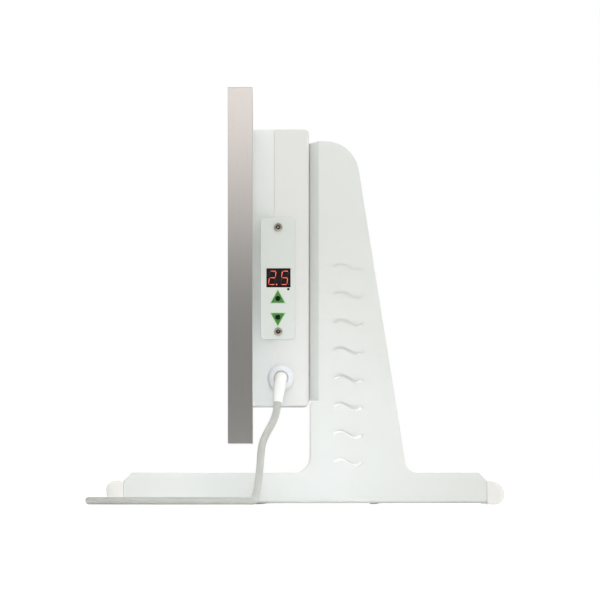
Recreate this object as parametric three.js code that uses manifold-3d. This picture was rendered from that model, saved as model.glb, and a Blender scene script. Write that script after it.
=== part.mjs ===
// A free-standing electric panel heater: a tiled heating panel in a metal edge frame, a sheet-steel case with
// its controls behind it, and two bent sheet-steel legs. Millimetres, +Z up. +X points from the panel to the
// rear and +Y across the panel. The origin is on the floor, under the middle of the heater.
import * as THREE from "three";
import { mergeVertices } from "three/addons/utils/BufferGeometryUtils.js";
import Module from "manifold-3d";

// Fits that the whole heater shares
const seatGap = 0.3; // between two pieces that rest on each other
const overrun = 2; // how far a cut reaches past the piece it cuts
const weldDistance = 0.001; // corners closer than this are one corner
const chordError = 0.2; // how far a facet may lie off its arc
const drillSides = 12;

// Heating panel
const panelWidth = 600;
const panelHeight = 350;
const panelDepth = 24.4;
const panelClearance = 60.5; // floor to the panel's lower edge
const panelRearX = -51.9;
const railWall = 1.6;
const railFrontLip = 7;
const railRearLip = 14;
const tileThickness = 9;
const elementThickness = 1.5;
const elementMargin = 14; // tile edge to element edge
const elementCorner = 6;
const backingThickness = 1;
const insulationMargin = 3;

// Case
const caseSideInset = 45; // panel edge to case
const caseBottomInset = 36.9;
const caseTopInset = 40.8;
const caseDepth = 55.6; // panel to rear wall
const caseSheet = 1.2;
const trayDepth = 21.1; // panel to the crease where the cover starts
const traySlant = 15; // how much narrower each side is at the panel
const trayLip = 12; // overlap of tray and cover
const coverBend = 4;
const ventPitch = 20;
const ventWidth = 5;
const wallVentLength = 14;
const wallVentCount = 20;
const rearVentLength = 52;
const rearVentCount = 17;
const rearVentMargin = 20; // case edge to the rear slots

// Legs
const legInset = 10; // case side to the leg's outer face
const legSheet = 2;
const legBend = 2; // inner radius of every bend
const footLength = 358;
const footHeight = 31.2;
const footLift = 1.4; // the soles hold the sheet off the floor
const footDepth = 42;
const footChamfer = 8;
const uprightTopDrop = 11.3; // case top to upright top
const uprightGap = 2; // case to the upright's front edge below the web
const uprightTopWidth = 34.9; // fold to where the rear edge would meet the top edge
const uprightFootWidth = 86.6; // fold to where it would meet the foot
const uprightTopRadius = 33.5;
const frontFillet = 16;
const rearFillet = 12;
const foldReach = 9.8; // case to the upright's fold into the slanted web
const webInset = 9; // how far the web runs inwards
const webTopDrop = 2.3;
const flangeWidth = 36;
const reliefRise = 4.2; // case bottom to the slot that ends the fold
const reliefHeight = 2.4;
const reliefOvercut = 0.8;

// Wave slots in both uprights
const waveCount = 8;
const wavePitch = 27.5;
const waveFirstRise = 10.8; // foot top to the lowest wave
const waveReach = 29.5; // fold to the middle of the waves
const waveLength = 30;
const waveHeight = 6.5;
const waveStroke = 3;
const waveSteps = 8;

// Leg screws
const legScrewInset = 24; // flange end to screw
const legScrewHole = 5;
const legScrewShank = 4.4;
const legScrewLength = 12;
const legScrewHead = 9.5;
const legScrewHeadHeight = 2.7;
const legSocket = 3; // across flats
const legSocketDepth = 1.6;
const screwSides = 14;

// End caps
const capReach = 17.5;
const capHeight = 23;
const capLongRadius = 13; // below at the front, above at the rear
const capBluntRadius = 8;
const capSideRadius = 8;
const tongueLength = 24;
const tongueHeight = 17;

// Control plate
const plateWidth = 34.5;
const plateHeight = 120.4;
const plateThickness = 2;
const plateCorner = 4;
const plateBevel = 0.4;
const plateSetback = 3.85; // crease to the plate's middle
const plateRise = 125.4; // case bottom to the plate's middle
const displayWidth = 23.2;
const displayHeight = 18.2;
const displayOffset = { x: 0.55, z: 0.7 }; // from the plate's middle, as all offsets on the plate
const lensThickness = 1.6;
const moduleWidth = 25.1;
const moduleHeight = 19;
const moduleDepth = 8;
const sensorDiameter = 2;
const sensorOffset = { x: 10.25, z: -10.5 };
const plateScrewUpperOffset = { x: 0.25, z: 50.6 };
const plateScrewLowerOffset = { x: 0.25, z: -52.3 };
const plateScrewHole = 4.6;
const plateScrewShank = 3.8;
const plateScrewLength = 12;
const plateScrewHead = 8.4;
const plateScrewHeadHeight = 2.4;
const plateSocket = 2.5;
const plateSocketDepth = 1.4;

// Buttons and their switches
const buttonUpOffset = { x: -0.05, z: -19.7 };
const buttonDownOffset = { x: -0.05, z: -38.1 };
const buttonDiameter = 5;
const buttonProud = 0.8;
const buttonFlange = 7.4;
const buttonFlangeHeight = 0.8;
const stemDiameter = 3;
const stemReach = 1; // how far the stem sits in its switch
const switchWidth = 6;
const switchHeight = 3.5;
const switchWellDepth = 2;
const controlLead = 3.6;
const controlLeadOffset = { x: -0.05, z: -10.8 };

// Control housing
const housingBelow = 46; // from the plate's middle down
const housingAbove = 15.8;
const housingWall = 1.2;
const boardThickness = 1.6;

// Power electronics
const powerBoardWidth = 80;
const powerBoardHeight = 100;
const powerBoardInset = 85; // case side to board middle
const powerBoardRise = 107.6; // case bottom to board middle
const bossHeight = 8;
const bossDiameter = 6;
const bossInset = 6;
const relaySize = { width: 15.5, height: 19, depth: 15, corner: 1 };
const relayOffset = { y: -20, z: 23 }; // from the board's middle, as all offsets on the board
const transformerSize = { width: 32, height: 28, depth: 22, corner: 2 };
const transformerOffset = { y: 12, z: -9 };
const capacitorDiameter = 13;
const capacitorLength = 20;
const capacitorOffset = { y: 12, z: 30 };
const terminalSize = { width: 30, height: 20, depth: 13, corner: 1 };
const terminalOffset = { y: -18, z: -37 };
const terminalPitch = 9;
const terminalBore = 3.4;
const terminalBoreDepth = 8;
const cutoutDiameter = 17;
const cutoutHeight = 7;
const cutoutTabWidth = 6.3;
const cutoutTabLength = 26;
const cutoutTabHeight = 2.5;
const cutoutAside = 60; // case middle to cut-out
const cutoutRise = 16.5;
const studDiameter = 4;
const studLength = 14;
const studNut = 7;
const studNutHeight = 3.2;
const roundSides = 20; // facets round the larger turned pieces
const studInset = 40; // case side to stud
const studRise = 52.6;

// Leads inside the case
const grommetDiameter = 18;
const grommetGroove = 14;
const grommetBore = 10;
const grommetLip = 1.5;
const grommetAside = 20; // board edge to grommet
const grommetDrop = 15; // board middle to grommet
const heaterLead = 3;
const heaterLeadSpacing = 4.4;
const coreDiameter = 2.4;
const corePitch = 2.8;
const leadSides = 8;
const leadSteps = 12;

// Cable gland
const glandSetback = 6.9; // crease to gland
const glandRise = 27.3; // case bottom to gland
const glandHole = 13;
const glandBarrel = 12.4;
const glandBarrelLength = 13;
const glandCollar = 24;
const glandCollarHeight = 4;
const glandThread = 18;
const glandThreadLength = 7;
const glandBore = 8;
const locknutAcross = 18;
const locknutHeight = 5;
const domeDiameter = 26.6;
const domeSkirt = 8;
const domeHeight = 17;
const domeMouth = 14;
const domeWall = 2.4;
const domeSeat = 4.8; // thickness of the crown where the seal bears
const domeSteps = 4;
const tailLength = 24; // the cord's sheath beyond the gland, inside the case

// Mains cord
const cordDiameter = 7.4;
const cordSides = 8;
const reliefRootDiameter = 13.2;
const reliefTipDiameter = 9.6;
const reliefSeat = 5.6; // how far its root sits inside the dome nut
const reliefRings = 14;
const reliefLength = 48;
const coilMidDiameter = 80;
const coilColumns = 3;
const coilLayers = 2;
const coilX = -118;
const coilInset = 121; // case side to coil middle
const coilSides = 32;
const cordSteps = 32;
const plugLeadSteps = 14;

// Plug
const plugEntryX = 22;
const plugInset = 105; // case side to plug axis
const plugZ = 19.3;
const plugFace = 38;
const plugFaceThickness = 9;
const plugGrip = 30;
const plugGripLength = 18;
const plugNeck = 12;
const plugEntry = 8.6;
const plugNeckLength = 24;
const pinDiameter = 4.8;
const pinLength = 19;
const pinSpacing = 19;

// The cord's routes, chosen by hand, with each y counted from the case's near side. The first one leaves the
// gland, falls past the case and runs along the floor round the foot. The second one goes from the coil to
// the plug.
const mainsRoute = [
  [-23.9, -16, 124.7],
  [-24, -26, 124.3],
  [-24.4, -35.5, 121.3],
  [-25.2, -43.6, 115.6],
  [-26.3, -49.6, 107.7],
  [-27.6, -53, 98.4],
  [-29.2, -53.5, 88.5],
  [-32.9, -53.5, 79.3],
  [-37.7, -53.5, 70.5],
  [-41.8, -53.5, 61.4],
  [-43.5, -53.5, 51.5],
  [-44.3, -53.5, 41.5],
  [-45.2, -53.7, 31.6],
  [-46.4, -56.4, 22],
  [-47.8, -61.9, 13.8],
  [-49.3, -69.7, 7.7],
  [-50.7, -78.9, 4.4],
  [-52.2, -88.8, 3.8],
  [-56, -98, 3.8],
  [-62.4, -105.7, 3.8],
  [-70.8, -111.1, 3.8],
  [-80.5, -113.7, 3.8],
  [-90.5, -113.9, 3.8],
  [-100.5, -113.4, 3.8],
  [-110.4, -112.3, 3.8],
  [-133.1, -107.2, 3.8],
  [-154.7, -98.6, 3.8],
  [-174.7, -86.7, 3.8],
  [-191.8, -71.1, 3.8],
  [-204.4, -51.5, 3.8],
  [-211.5, -29.5, 3.8],
  [-213, -6.3, 3.8],
  [-213, 17, 3.8],
  [-208.6, 39.6, 3.8],
  [-194, 57.4, 3.8],
  [-172.5, 65.8, 3.8],
  [-149.3, 66.1, 3.8],
  [-126, 66.1, 3.8],
];
const plugRoute = [
  [-90.8, 73.8, 11.2],
  [-80.0, 74.8, 10.1],
  [-69.0, 77.4, 7.5],
  [-57.0, 81.6, 4.8],
  [-45.0, 86.8, 3.9],
  [-33.0, 92.2, 6.0],
  [-21.0, 97.3, 10.1],
  [-9.0, 101.5, 14.7],
  [2.0, 104.1, 18.0],
  [12.5, 105.0, 19.3],
  [21.6, 105.0, 19.3],
];

// Places that follow from the sizes above
const panelFrontX = panelRearX - panelDepth;
const panelCentreZ = panelClearance + panelHeight / 2;
const backingRearX = panelRearX - railWall - seatGap;
const insulationRearX = backingRearX - backingThickness - seatGap;
const tileFrontX = panelFrontX + railWall + seatGap;
const elementFrontX = tileFrontX + tileThickness + seatGap;
const insulationFrontX = elementFrontX + elementThickness + seatGap;
const contentWidth = panelWidth - 2 * (railWall + seatGap);
const contentHeight = panelHeight - 2 * (railWall + seatGap);
const caseWidth = panelWidth - 2 * caseSideInset;
const caseBottomZ = panelClearance + caseBottomInset;
const caseTopZ = panelClearance + panelHeight - caseTopInset;
const caseCentreZ = (caseBottomZ + caseTopZ) / 2;
const caseSideY = -caseWidth / 2; // the near side, which carries the controls
const trayFrontX = backingRearX + seatGap;
const trayFloorX = trayFrontX + caseSheet; // the floor's inner face
const creaseX = panelRearX + trayDepth;
const caseRearX = panelRearX + caseDepth;
const lipInset = caseSheet + seatGap;
const legFaceY = caseSideY + legInset;
const flangeCentreY = legFaceY + webInset + flangeWidth / 2;
const flangeX = caseRearX + seatGap + legSheet / 2;
const foldX = caseRearX + foldReach;
const uprightTopZ = caseTopZ - uprightTopDrop;
const reliefBottomZ = caseBottomZ + reliefRise;
const flangeBottomZ = reliefBottomZ + reliefHeight;
const flangeTopZ = uprightTopZ - webTopDrop;
const legScrewZ = [flangeBottomZ + legScrewInset, (flangeBottomZ + flangeTopZ) / 2, flangeTopZ - legScrewInset];
const footEndX = footLength / 2;
const plateRearY = caseSideY - seatGap;
const plateFaceY = plateRearY - plateThickness;
const plateX = creaseX + plateSetback;
const plateZ = caseBottomZ + plateRise;
const onPlate = ({ x, z }) => ({ x: plateX + x, z: plateZ + z });
const display = onPlate(displayOffset);
const sensor = onPlate(sensorOffset);
const buttonUp = onPlate(buttonUpOffset);
const buttonDown = onPlate(buttonDownOffset);
const plateScrews = [plateScrewUpperOffset, plateScrewLowerOffset].map(onPlate);
const controlLeadExit = onPlate(controlLeadOffset);
const moduleFrontY = plateRearY + seatGap;
const boardFrontY = moduleFrontY + moduleDepth + seatGap;
const housingFloorY = boardFrontY + boardThickness + seatGap;
const housingWidth = moduleWidth + 2 * (housingWall + seatGap);
const housingHeight = housingAbove + housingBelow;
const housingZ = plateZ + (housingAbove - housingBelow) / 2;
const switchFrontY = boardFrontY - seatGap - switchHeight;
const powerBoard = { y: caseSideY + powerBoardInset, z: caseBottomZ + powerBoardRise };
const powerBoardX = trayFloorX + bossHeight + seatGap;
const componentX = powerBoardX + boardThickness + seatGap;
const onPowerBoard = ({ y, z }) => ({ y: powerBoard.y + y, z: powerBoard.z + z });
const terminal = onPowerBoard(terminalOffset);
const grommetY = powerBoard.y + powerBoardWidth / 2 + grommetAside;
const grommetZ = powerBoard.z - grommetDrop;
const studY = caseSideY + studInset;
const studZ = caseBottomZ + studRise;
const glandX = creaseX + glandSetback;
const glandZ = caseBottomZ + glandRise;
const collarY = caseSideY - seatGap;
const threadY = collarY - glandCollarHeight;
const domeBackY = threadY - seatGap;
const reliefStartY = domeBackY - domeHeight + reliefSeat;
const coilY = caseSideY + coilInset;
const plugY = caseSideY + plugInset;
const sheathEndY = collarY + glandBarrelLength + tailLength;
const coilInner = (coilMidDiameter - coilColumns * cordDiameter) / 2;
const coilOuter = (coilMidDiameter + coilColumns * cordDiameter) / 2;

// Solids

const wasm = await Module();
wasm.setup();

/** A closed geometry as a solid that can be joined and cut. */
function solidOf(geometry) {
  const bare = geometry.clone();
  bare.deleteAttribute("normal");
  bare.deleteAttribute("uv");
  const welded = mergeVertices(bare, weldDistance);
  const index = welded.index.array;
  const triangles = [];
  for (let i = 0; i < index.length; i += 3) {
    const [a, b, c] = index.slice(i, i + 3);
    if (a !== b && b !== c && c !== a) {
      triangles.push(a, b, c);
    }
  }
  return new wasm.Manifold(
    new wasm.Mesh({
      numProp: 3,
      vertProperties: welded.attributes.position.array,
      triVerts: new Uint32Array(triangles),
    }),
  );
}

/** A solid's surface as a geometry. */
function surfaceOf(solid) {
  const mesh = solid.getMesh();
  const geometry = new THREE.BufferGeometry();
  geometry.setAttribute("position", new THREE.BufferAttribute(mesh.vertProperties, 3));
  geometry.setIndex(new THREE.BufferAttribute(mesh.triVerts, 1));
  geometry.computeVertexNormals();
  return geometry;
}

const joined = (first, ...others) =>
  surfaceOf(others.reduce((solid, other) => solid.add(solidOf(other)), solidOf(first)));
const cut = (first, ...tools) =>
  surfaceOf(tools.reduce((solid, tool) => solid.subtract(solidOf(tool)), solidOf(first)));
const common = (first, ...others) =>
  surfaceOf(others.reduce((solid, other) => solid.intersect(solidOf(other)), solidOf(first)));

// Outlines and basic shapes

/** The points of an arc that rounds a corner off between its two neighbours. */
function roundedCorner(before, corner, after, radius) {
  const back = before.sub(corner).normalize();
  const ahead = after.sub(corner).normalize();
  const half = Math.acos(back.dot(ahead)) / 2;
  const start = corner.clone().addScaledVector(back, radius / Math.tan(half));
  const end = corner.clone().addScaledVector(ahead, radius / Math.tan(half));
  const towards = back.clone().add(ahead).normalize();
  const centre = corner.clone().addScaledVector(towards, radius / Math.sin(half));
  const clockwise = back.cross(ahead) > 0;
  const [from, to] = [start, end].map((point) => Math.atan2(point.y - centre.y, point.x - centre.x));
  const arc = new THREE.EllipseCurve(centre.x, centre.y, radius, radius, from, to, clockwise);
  const facetAngle = 2 * Math.acos(1 - chordError / radius);
  return arc.getPoints(Math.ceil((Math.PI - 2 * half) / facetAngle));
}

/** A closed outline through corners [u, v, radius], each rounded by its radius. */
function roundedOutline(corners) {
  const pointAt = (i) => new THREE.Vector2(...corners[(i + corners.length) % corners.length]);
  const points = corners.flatMap(([u, v, radius = 0], i) =>
    radius ? roundedCorner(pointAt(i - 1), pointAt(i), pointAt(i + 1), radius) : [new THREE.Vector2(u, v)],
  );
  return new THREE.Shape(points.filter((point, i) => point.distanceTo(points.at(i - 1)) > weldDistance));
}

/** A rectangle about a centre, with its corners rounded. */
function rectangle(centreU, centreV, width, height, radius = 0) {
  const [u, v] = [width / 2, height / 2];
  return roundedOutline([
    [centreU - u, centreV - v, radius],
    [centreU + u, centreV - v, radius],
    [centreU + u, centreV + v, radius],
    [centreU - u, centreV + v, radius],
  ]);
}

/** The section of a sheet that is folded along a line of points through its middle. */
function foldedSheet(line, thickness, innerRadius) {
  const points = line.map(([u, v]) => new THREE.Vector2(u, v));
  const directions = points.slice(1).map((point, i) => point.clone().sub(points[i]).normalize());
  const sideOf = (side) =>
    points.map((point, i) => {
      const before = directions[Math.max(i - 1, 0)];
      const after = directions[Math.min(i, directions.length - 1)];
      const normals = [before, after].map((d) => new THREE.Vector2(-d.y, d.x));
      const offset = normals[0].clone().add(normals[1]).divideScalar(1 + normals[0].dot(normals[1]));
      const place = point.clone().addScaledVector(offset, (side * thickness) / 2);
      const turn = before.cross(after) * side;
      const radius = turn > 0 ? innerRadius : innerRadius + thickness;
      return [place.x, place.y, i > 0 && i < points.length - 1 ? radius : 0];
    });
  return roundedOutline([...sideOf(1).reverse(), ...sideOf(-1)]);
}

const alongY = new THREE.Matrix4().makeRotationX(Math.PI / 2);
const alongX = new THREE.Matrix4().set(0, 0, 1, 0, 1, 0, 0, 0, 0, 1, 0, 0, 0, 0, 0, 1);

function extruded(shape, length, bevel = 0) {
  const edge = { bevelEnabled: bevel > 0, bevelSize: bevel, bevelThickness: bevel, bevelOffset: -bevel };
  const settings = { depth: length - 2 * bevel, bevelSegments: 1, ...edge };
  return new THREE.ExtrudeGeometry(shape, settings).translate(0, 0, bevel);
}

/** An outline in X and Y, extruded from one height to another. */
const extrudeZ = (shape, fromZ, toZ) => extruded(shape, toZ - fromZ).translate(0, 0, fromZ);

/** An outline in X and Z, extruded across the heater. */
const extrudeY = (shape, fromY, toY, bevel = 0) =>
  extruded(shape, toY - fromY, bevel).applyMatrix4(alongY).translate(0, toY, 0);

/** An outline in Y and Z, extruded from front to rear. */
const extrudeX = (shape, fromX, toX) =>
  extruded(shape, toX - fromX).applyMatrix4(alongX).translate(fromX, 0, 0);

function block([fromX, toX], [fromY, toY], [fromZ, toZ]) {
  const box = new THREE.BoxGeometry(toX - fromX, toY - fromY, toZ - fromZ);
  return box.translate((fromX + toX) / 2, (fromY + toY) / 2, (fromZ + toZ) / 2);
}

/** A round bar or a drill along Y, from one depth to another. */
function barY(diameter, x, z, fromY, toY, sides = drillSides) {
  const bar = new THREE.CylinderGeometry(diameter / 2, diameter / 2, toY - fromY, sides);
  return bar.translate(x, (fromY + toY) / 2, z);
}

/** A round bar or a drill along X. */
function barX(diameter, y, z, fromX, toX, sides = drillSides) {
  const bar = new THREE.CylinderGeometry(diameter / 2, diameter / 2, toX - fromX, sides);
  return bar.rotateZ(-Math.PI / 2).translate((fromX + toX) / 2, y, z);
}

/** A body turned about the Y axis from its half section, given as [radius, y] in either order. */
function turned(section, sides = roundSides) {
  const points = section.map(([radius, y]) => new THREE.Vector2(radius, y));
  const onAxis = section[0][0] === 0;
  if (THREE.ShapeUtils.isClockWise(points)) points.reverse();
  if (!onAxis) points.push(points[0].clone());
  return surfaceOf(solidOf(new THREE.LatheGeometry(points, sides)));
}

/** A regular polygon with a corner at each step of the circle, the first at the turn. */
function polygon(diameter, sides, turn = 0) {
  const corners = Array.from({ length: sides }, (_, i) => turn + (i * 2 * Math.PI) / sides);
  const pointAt = (angle) => new THREE.Vector2(Math.cos(angle), Math.sin(angle)).multiplyScalar(diameter / 2);
  return new THREE.Shape(corners.map(pointAt));
}

const acrossFlats = (size) => size / Math.cos(Math.PI / 6);

/** A cord's route with its places counted from the case's near side. */
const fromCaseSide = (route) => route.map(([x, y, z]) => [x, caseSideY + y, z]);

/** A smooth curve through points. */
const curveThrough = (route) => new THREE.CatmullRomCurve3(route.map((point) => new THREE.Vector3(...point)));

/** The stretch of a curve from one length along it to another. */
class Stretch extends THREE.Curve {
  constructor(curve, fromLength, toLength) {
    super();
    this.curve = curve;
    this.shares = [fromLength, toLength].map((length) => length / curve.getLength());
  }

  getPoint(share, target = new THREE.Vector3()) {
    return this.curve.getPointAt(THREE.MathUtils.lerp(...this.shares, share), target);
  }
}

/** A tube or cord along a curve. */
const tube = (curve, diameter, sides, steps) =>
  new THREE.ExtrudeGeometry(polygon(diameter, sides), { steps, extrudePath: curve });

/** A round piece that tapers along a curve. */
function taperedAlong(curve, rootDiameter, tipDiameter, sides, rings) {
  const frames = curve.computeFrenetFrames(rings);
  const geometry = new THREE.CylinderGeometry(1, 1, 1, sides, rings);
  const position = geometry.attributes.position;
  for (let i = 0; i < position.count; i += 1) {
    const share = position.getY(i) + 1 / 2;
    const ring = Math.round(share * rings);
    const radius = THREE.MathUtils.lerp(rootDiameter, tipDiameter, share) / 2;
    const point = curve.getPointAt(share);
    point.addScaledVector(frames.normals[ring], radius * position.getX(i));
    point.addScaledVector(frames.binormals[ring], -radius * position.getZ(i));
    position.setXYZ(i, point.x, point.y, point.z);
  }
  return geometry;
}

// Finishes

function finish(color, roughness, metalness) {
  return new THREE.MeshStandardMaterial({ color, roughness, metalness });
}

const paintedSteel = () => finish(0xe4e2de, 0.45, 0.1);
const brushedSteel = () => finish(0x9b938b, 0.38, 0.9);
const zincSteel = () => finish(0xb9bcbf, 0.4, 0.9);
const stoneware = () => finish(0xd8cfc0, 0.5, 0);
const elementFoil = () => finish(0x2b2b2e, 0.6, 0.2);
const mineralWool = () => finish(0xcfc07a, 0.95, 0);
const capPlastic = () => finish(0xe9e6df, 0.4, 0);
const whitePlastic = () => finish(0xe8e8e6, 0.35, 0);
const darkPlastic = () => finish(0x202022, 0.5, 0);
const greenPlastic = () => finish(0x1f5a2c, 0.45, 0);
const smokedAcrylic = () => finish(0x140506, 0.1, 0);
const circuitBoard = () => finish(0x1d6b3f, 0.55, 0);
const cordSheath = () => finish(0xe3e1dc, 0.55, 0);
const brass = () => finish(0xc0a04a, 0.35, 0.9);

function piece(name, geometry, material) {
  const mesh = new THREE.Mesh(geometry, material);
  mesh.name = name;
  return mesh;
}

function group(...children) {
  return new THREE.Group().add(...children);
}

// Heating panel

/** One rail of the edge frame: a channel that lies along Y with its web down, mitred at both ends. */
function rail(length) {
  const lips = Math.max(railFrontLip, railRearLip);
  const section = roundedOutline([
    [0, 0],
    [panelDepth, 0],
    [panelDepth, railRearLip],
    [panelDepth - railWall, railRearLip],
    [panelDepth - railWall, railWall],
    [railWall, railWall],
    [railWall, railFrontLip],
    [0, railFrontLip],
  ]);
  const half = length / 2 - seatGap * Math.SQRT1_2;
  const mitre = roundedOutline([
    [-half, 0],
    [half, 0],
    [half - lips, lips],
    [lips - half, lips],
  ]);
  const channel = extrudeY(section, -length / 2, length / 2);
  return common(channel, extrudeX(mitre, -overrun, panelDepth + overrun));
}

function placedRail(name, length, turn, y, z) {
  const mesh = piece(name, rail(length), brushedSteel());
  mesh.rotation.x = turn;
  mesh.position.set(panelFrontX, y, z);
  return mesh;
}

function edgeFrame() {
  const top = panelClearance + panelHeight;
  return group(
    placedRail("rail_bottom", panelWidth, 0, 0, panelClearance),
    placedRail("rail_top", panelWidth, Math.PI, 0, top),
    placedRail("rail_near", panelHeight, -Math.PI / 2, -panelWidth / 2, panelCentreZ),
    placedRail("rail_far", panelHeight, Math.PI / 2, panelWidth / 2, panelCentreZ),
  );
}

/** One layer of the panel, set in from the inside of the frame by a margin. */
function panelLayer(fromX, toX, margin, corner = 0) {
  const outline = rectangle(0, panelCentreZ, contentWidth - 2 * margin, contentHeight - 2 * margin, corner);
  return extrudeX(outline, fromX, toX);
}

function leadPassage(fromX, toX) {
  return barX(grommetGroove, grommetY, grommetZ, fromX - overrun, toX + overrun);
}

function panelContents() {
  const tile = panelLayer(tileFrontX, tileFrontX + tileThickness, 0);
  const element = panelLayer(elementFrontX, elementFrontX + elementThickness, elementMargin, elementCorner);
  const insulation = panelLayer(insulationFrontX, insulationRearX, insulationMargin);
  const backingFrontX = backingRearX - backingThickness;
  const backing = panelLayer(backingFrontX, backingRearX, 0);
  return group(
    piece("front_tile", tile, stoneware()),
    piece("heating_element", element, elementFoil()),
    piece("insulation_mat", cut(insulation, leadPassage(insulationFrontX, insulationRearX)), mineralWool()),
    piece("backing_sheet", cut(backing, leadPassage(backingFrontX, backingRearX)), zincSteel()),
  );
}

// Case

/** Where the controls and the gland pass through the case's near side. */
function sideOpenings() {
  const inside = caseSideY + traySlant + overrun;
  const opening = block(
    [plateX - housingWidth / 2 - seatGap, plateX + housingWidth / 2 + seatGap],
    [caseSideY - overrun, inside],
    [plateZ - housingBelow - seatGap, plateZ + housingAbove + seatGap],
  );
  const drills = plateScrews.map(({ x, z }) => barY(plateScrewHole, x, z, caseSideY - overrun, inside));
  return [opening, barY(glandHole, glandX, glandZ, caseSideY - overrun, inside, roundSides), ...drills];
}

/** The tray's walls as a solid block: its slanted sides, and the lip that the cover slides over. */
function trayBlock(inset, frontX) {
  const half = caseWidth / 2 - inset;
  const lipHalf = half - lipInset;
  const lipRearX = creaseX + trayLip + (inset ? overrun : 0);
  const slanted = roundedOutline([
    [frontX, traySlant - half],
    [creaseX - inset, -half],
    [creaseX - inset, half],
    [frontX, half - traySlant],
  ]);
  const body = extrudeZ(slanted, caseBottomZ + inset, caseTopZ - inset);
  const lip = block(
    [creaseX - inset - lipInset, lipRearX],
    [-lipHalf, lipHalf],
    [caseBottomZ + lipInset + inset, caseTopZ - lipInset - inset],
  );
  return joined(body, lip);
}

function boardBosses() {
  const [y, z] = [powerBoardWidth / 2 - bossInset, powerBoardHeight / 2 - bossInset];
  const corners = [
    [-y, -z],
    [y, -z],
    [y, z],
    [-y, z],
  ];
  const rootX = trayFrontX + caseSheet / 2;
  return corners.map(([dy, dz]) =>
    barX(bossDiameter, powerBoard.y + dy, powerBoard.z + dz, rootX, trayFloorX + bossHeight),
  );
}

function frontTray() {
  const shell = cut(trayBlock(0, trayFrontX), trayBlock(caseSheet, trayFloorX));
  const [from, to] = [trayFrontX - overrun, trayFloorX + overrun];
  const passage = barX(grommetGroove + 2 * seatGap, grommetY, grommetZ, from, to);
  const stud = barX(studDiameter + 2 * seatGap, studY, studZ, from, to);
  return cut(joined(shell, ...boardBosses()), passage, stud, ...sideOpenings());
}

/** The cover's outer block, or the hollow in it where an inset is given. */
function coverBlock(inset) {
  const frontX = creaseX + (inset ? -overrun : seatGap);
  const rearX = caseRearX - inset;
  const radius = coverBend - inset;
  const [bottom, top] = [caseBottomZ + inset, caseTopZ - inset];
  const half = caseWidth / 2 - inset;
  const side = roundedOutline([
    [frontX, bottom],
    [rearX, bottom, radius],
    [rearX, top, radius],
    [frontX, top],
  ]);
  const plan = roundedOutline([
    [frontX, -half],
    [rearX, -half, radius],
    [rearX, half, radius],
    [frontX, half],
  ]);
  return common(extrudeY(side, -half, half), extrudeZ(plan, bottom, top));
}

function centredRow(count, pitch) {
  return Array.from({ length: count }, (_, i) => (i - (count - 1) / 2) * pitch);
}

/** Round-ended vents: a row through the top and the bottom wall, and two rows through the rear wall. */
function ventTools() {
  const wallX = (creaseX + trayLip + caseRearX - coverBend) / 2;
  const wallSlots = centredRow(wallVentCount, ventPitch).flatMap((y) => {
    const slot = rectangle(wallX, y, wallVentLength, ventWidth, ventWidth / 2);
    return [caseBottomZ, caseTopZ].map((z) => extrudeZ(slot, z - overrun, z + overrun));
  });
  const reach = rearVentMargin + rearVentLength / 2;
  const rearSlots = centredRow(rearVentCount, ventPitch).flatMap((y) =>
    [caseBottomZ + reach, caseTopZ - reach].map((z) => {
      const slot = rectangle(y, z, ventWidth, rearVentLength, ventWidth / 2);
      return extrudeX(slot, caseRearX - overrun, caseRearX + overrun);
    }),
  );
  return [...wallSlots, ...rearSlots];
}

function legScrewDrills(y) {
  return legScrewZ.map((z) =>
    barX(legScrewHole, y, z, caseRearX - caseSheet - overrun, flangeX + legSheet / 2 + overrun),
  );
}

function rearCover() {
  const shell = cut(coverBlock(0), coverBlock(caseSheet));
  return cut(
    shell,
    ...ventTools(),
    ...sideOpenings(),
    ...legScrewDrills(flangeCentreY),
    ...legScrewDrills(-flangeCentreY),
  );
}

function heaterCase() {
  return group(
    piece("front_tray", frontTray(), paintedSteel()),
    piece("rear_cover", rearCover(), paintedSteel()),
  );
}

// Controls

/** A button-head screw along Y with its head's seat at y = 0 and its head towards -Y. */
function buttonHeadScrew(head, headHeight, shank, length, socket, socketDepth) {
  const [rimShare, shoulderShare, shoulderHeightShare, crownShare] = [0.35, 0.82, 0.78, 0.4];
  const radius = head / 2;
  const body = turned(
    [
      [0, -headHeight],
      [radius * crownShare, -headHeight],
      [radius * shoulderShare, -headHeight * shoulderHeightShare],
      [radius, -headHeight * rimShare],
      [radius, 0],
      [shank / 2, 0],
      [shank / 2, length],
      [0, length],
    ],
    screwSides,
  );
  const hexagon = polygon(acrossFlats(socket), 6);
  return cut(body, extrudeY(hexagon, -headHeight - overrun, socketDepth - headHeight));
}

function plateScrew(name, { x, z }) {
  const geometry = buttonHeadScrew(
    plateScrewHead,
    plateScrewHeadHeight,
    plateScrewShank,
    plateScrewLength,
    plateSocket,
    plateSocketDepth,
  );
  const mesh = piece(name, geometry, zincSteel());
  mesh.position.set(x, plateFaceY - seatGap, z);
  return mesh;
}

function controlPlate() {
  const outline = rectangle(plateX, plateZ, plateWidth, plateHeight, plateCorner);
  const plate = extrudeY(outline, plateFaceY, plateRearY, plateBevel);
  const window = rectangle(display.x, display.z, displayWidth + 2 * seatGap, displayHeight + 2 * seatGap);
  const [from, to] = [plateFaceY - overrun, plateRearY + overrun];
  const buttonHole = buttonDiameter + 2 * seatGap;
  const buttonHoles = [buttonUp, buttonDown].map(({ x, z }) => barY(buttonHole, x, z, from, to));
  const screwHoles = plateScrews.map(({ x, z }) => barY(plateScrewHole, x, z, from, to));
  const sensorHole = barY(sensorDiameter + 2 * seatGap, sensor.x, sensor.z, from, to);
  return cut(plate, extrudeY(window, from, to), ...buttonHoles, ...screwHoles, sensorHole);
}

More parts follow.
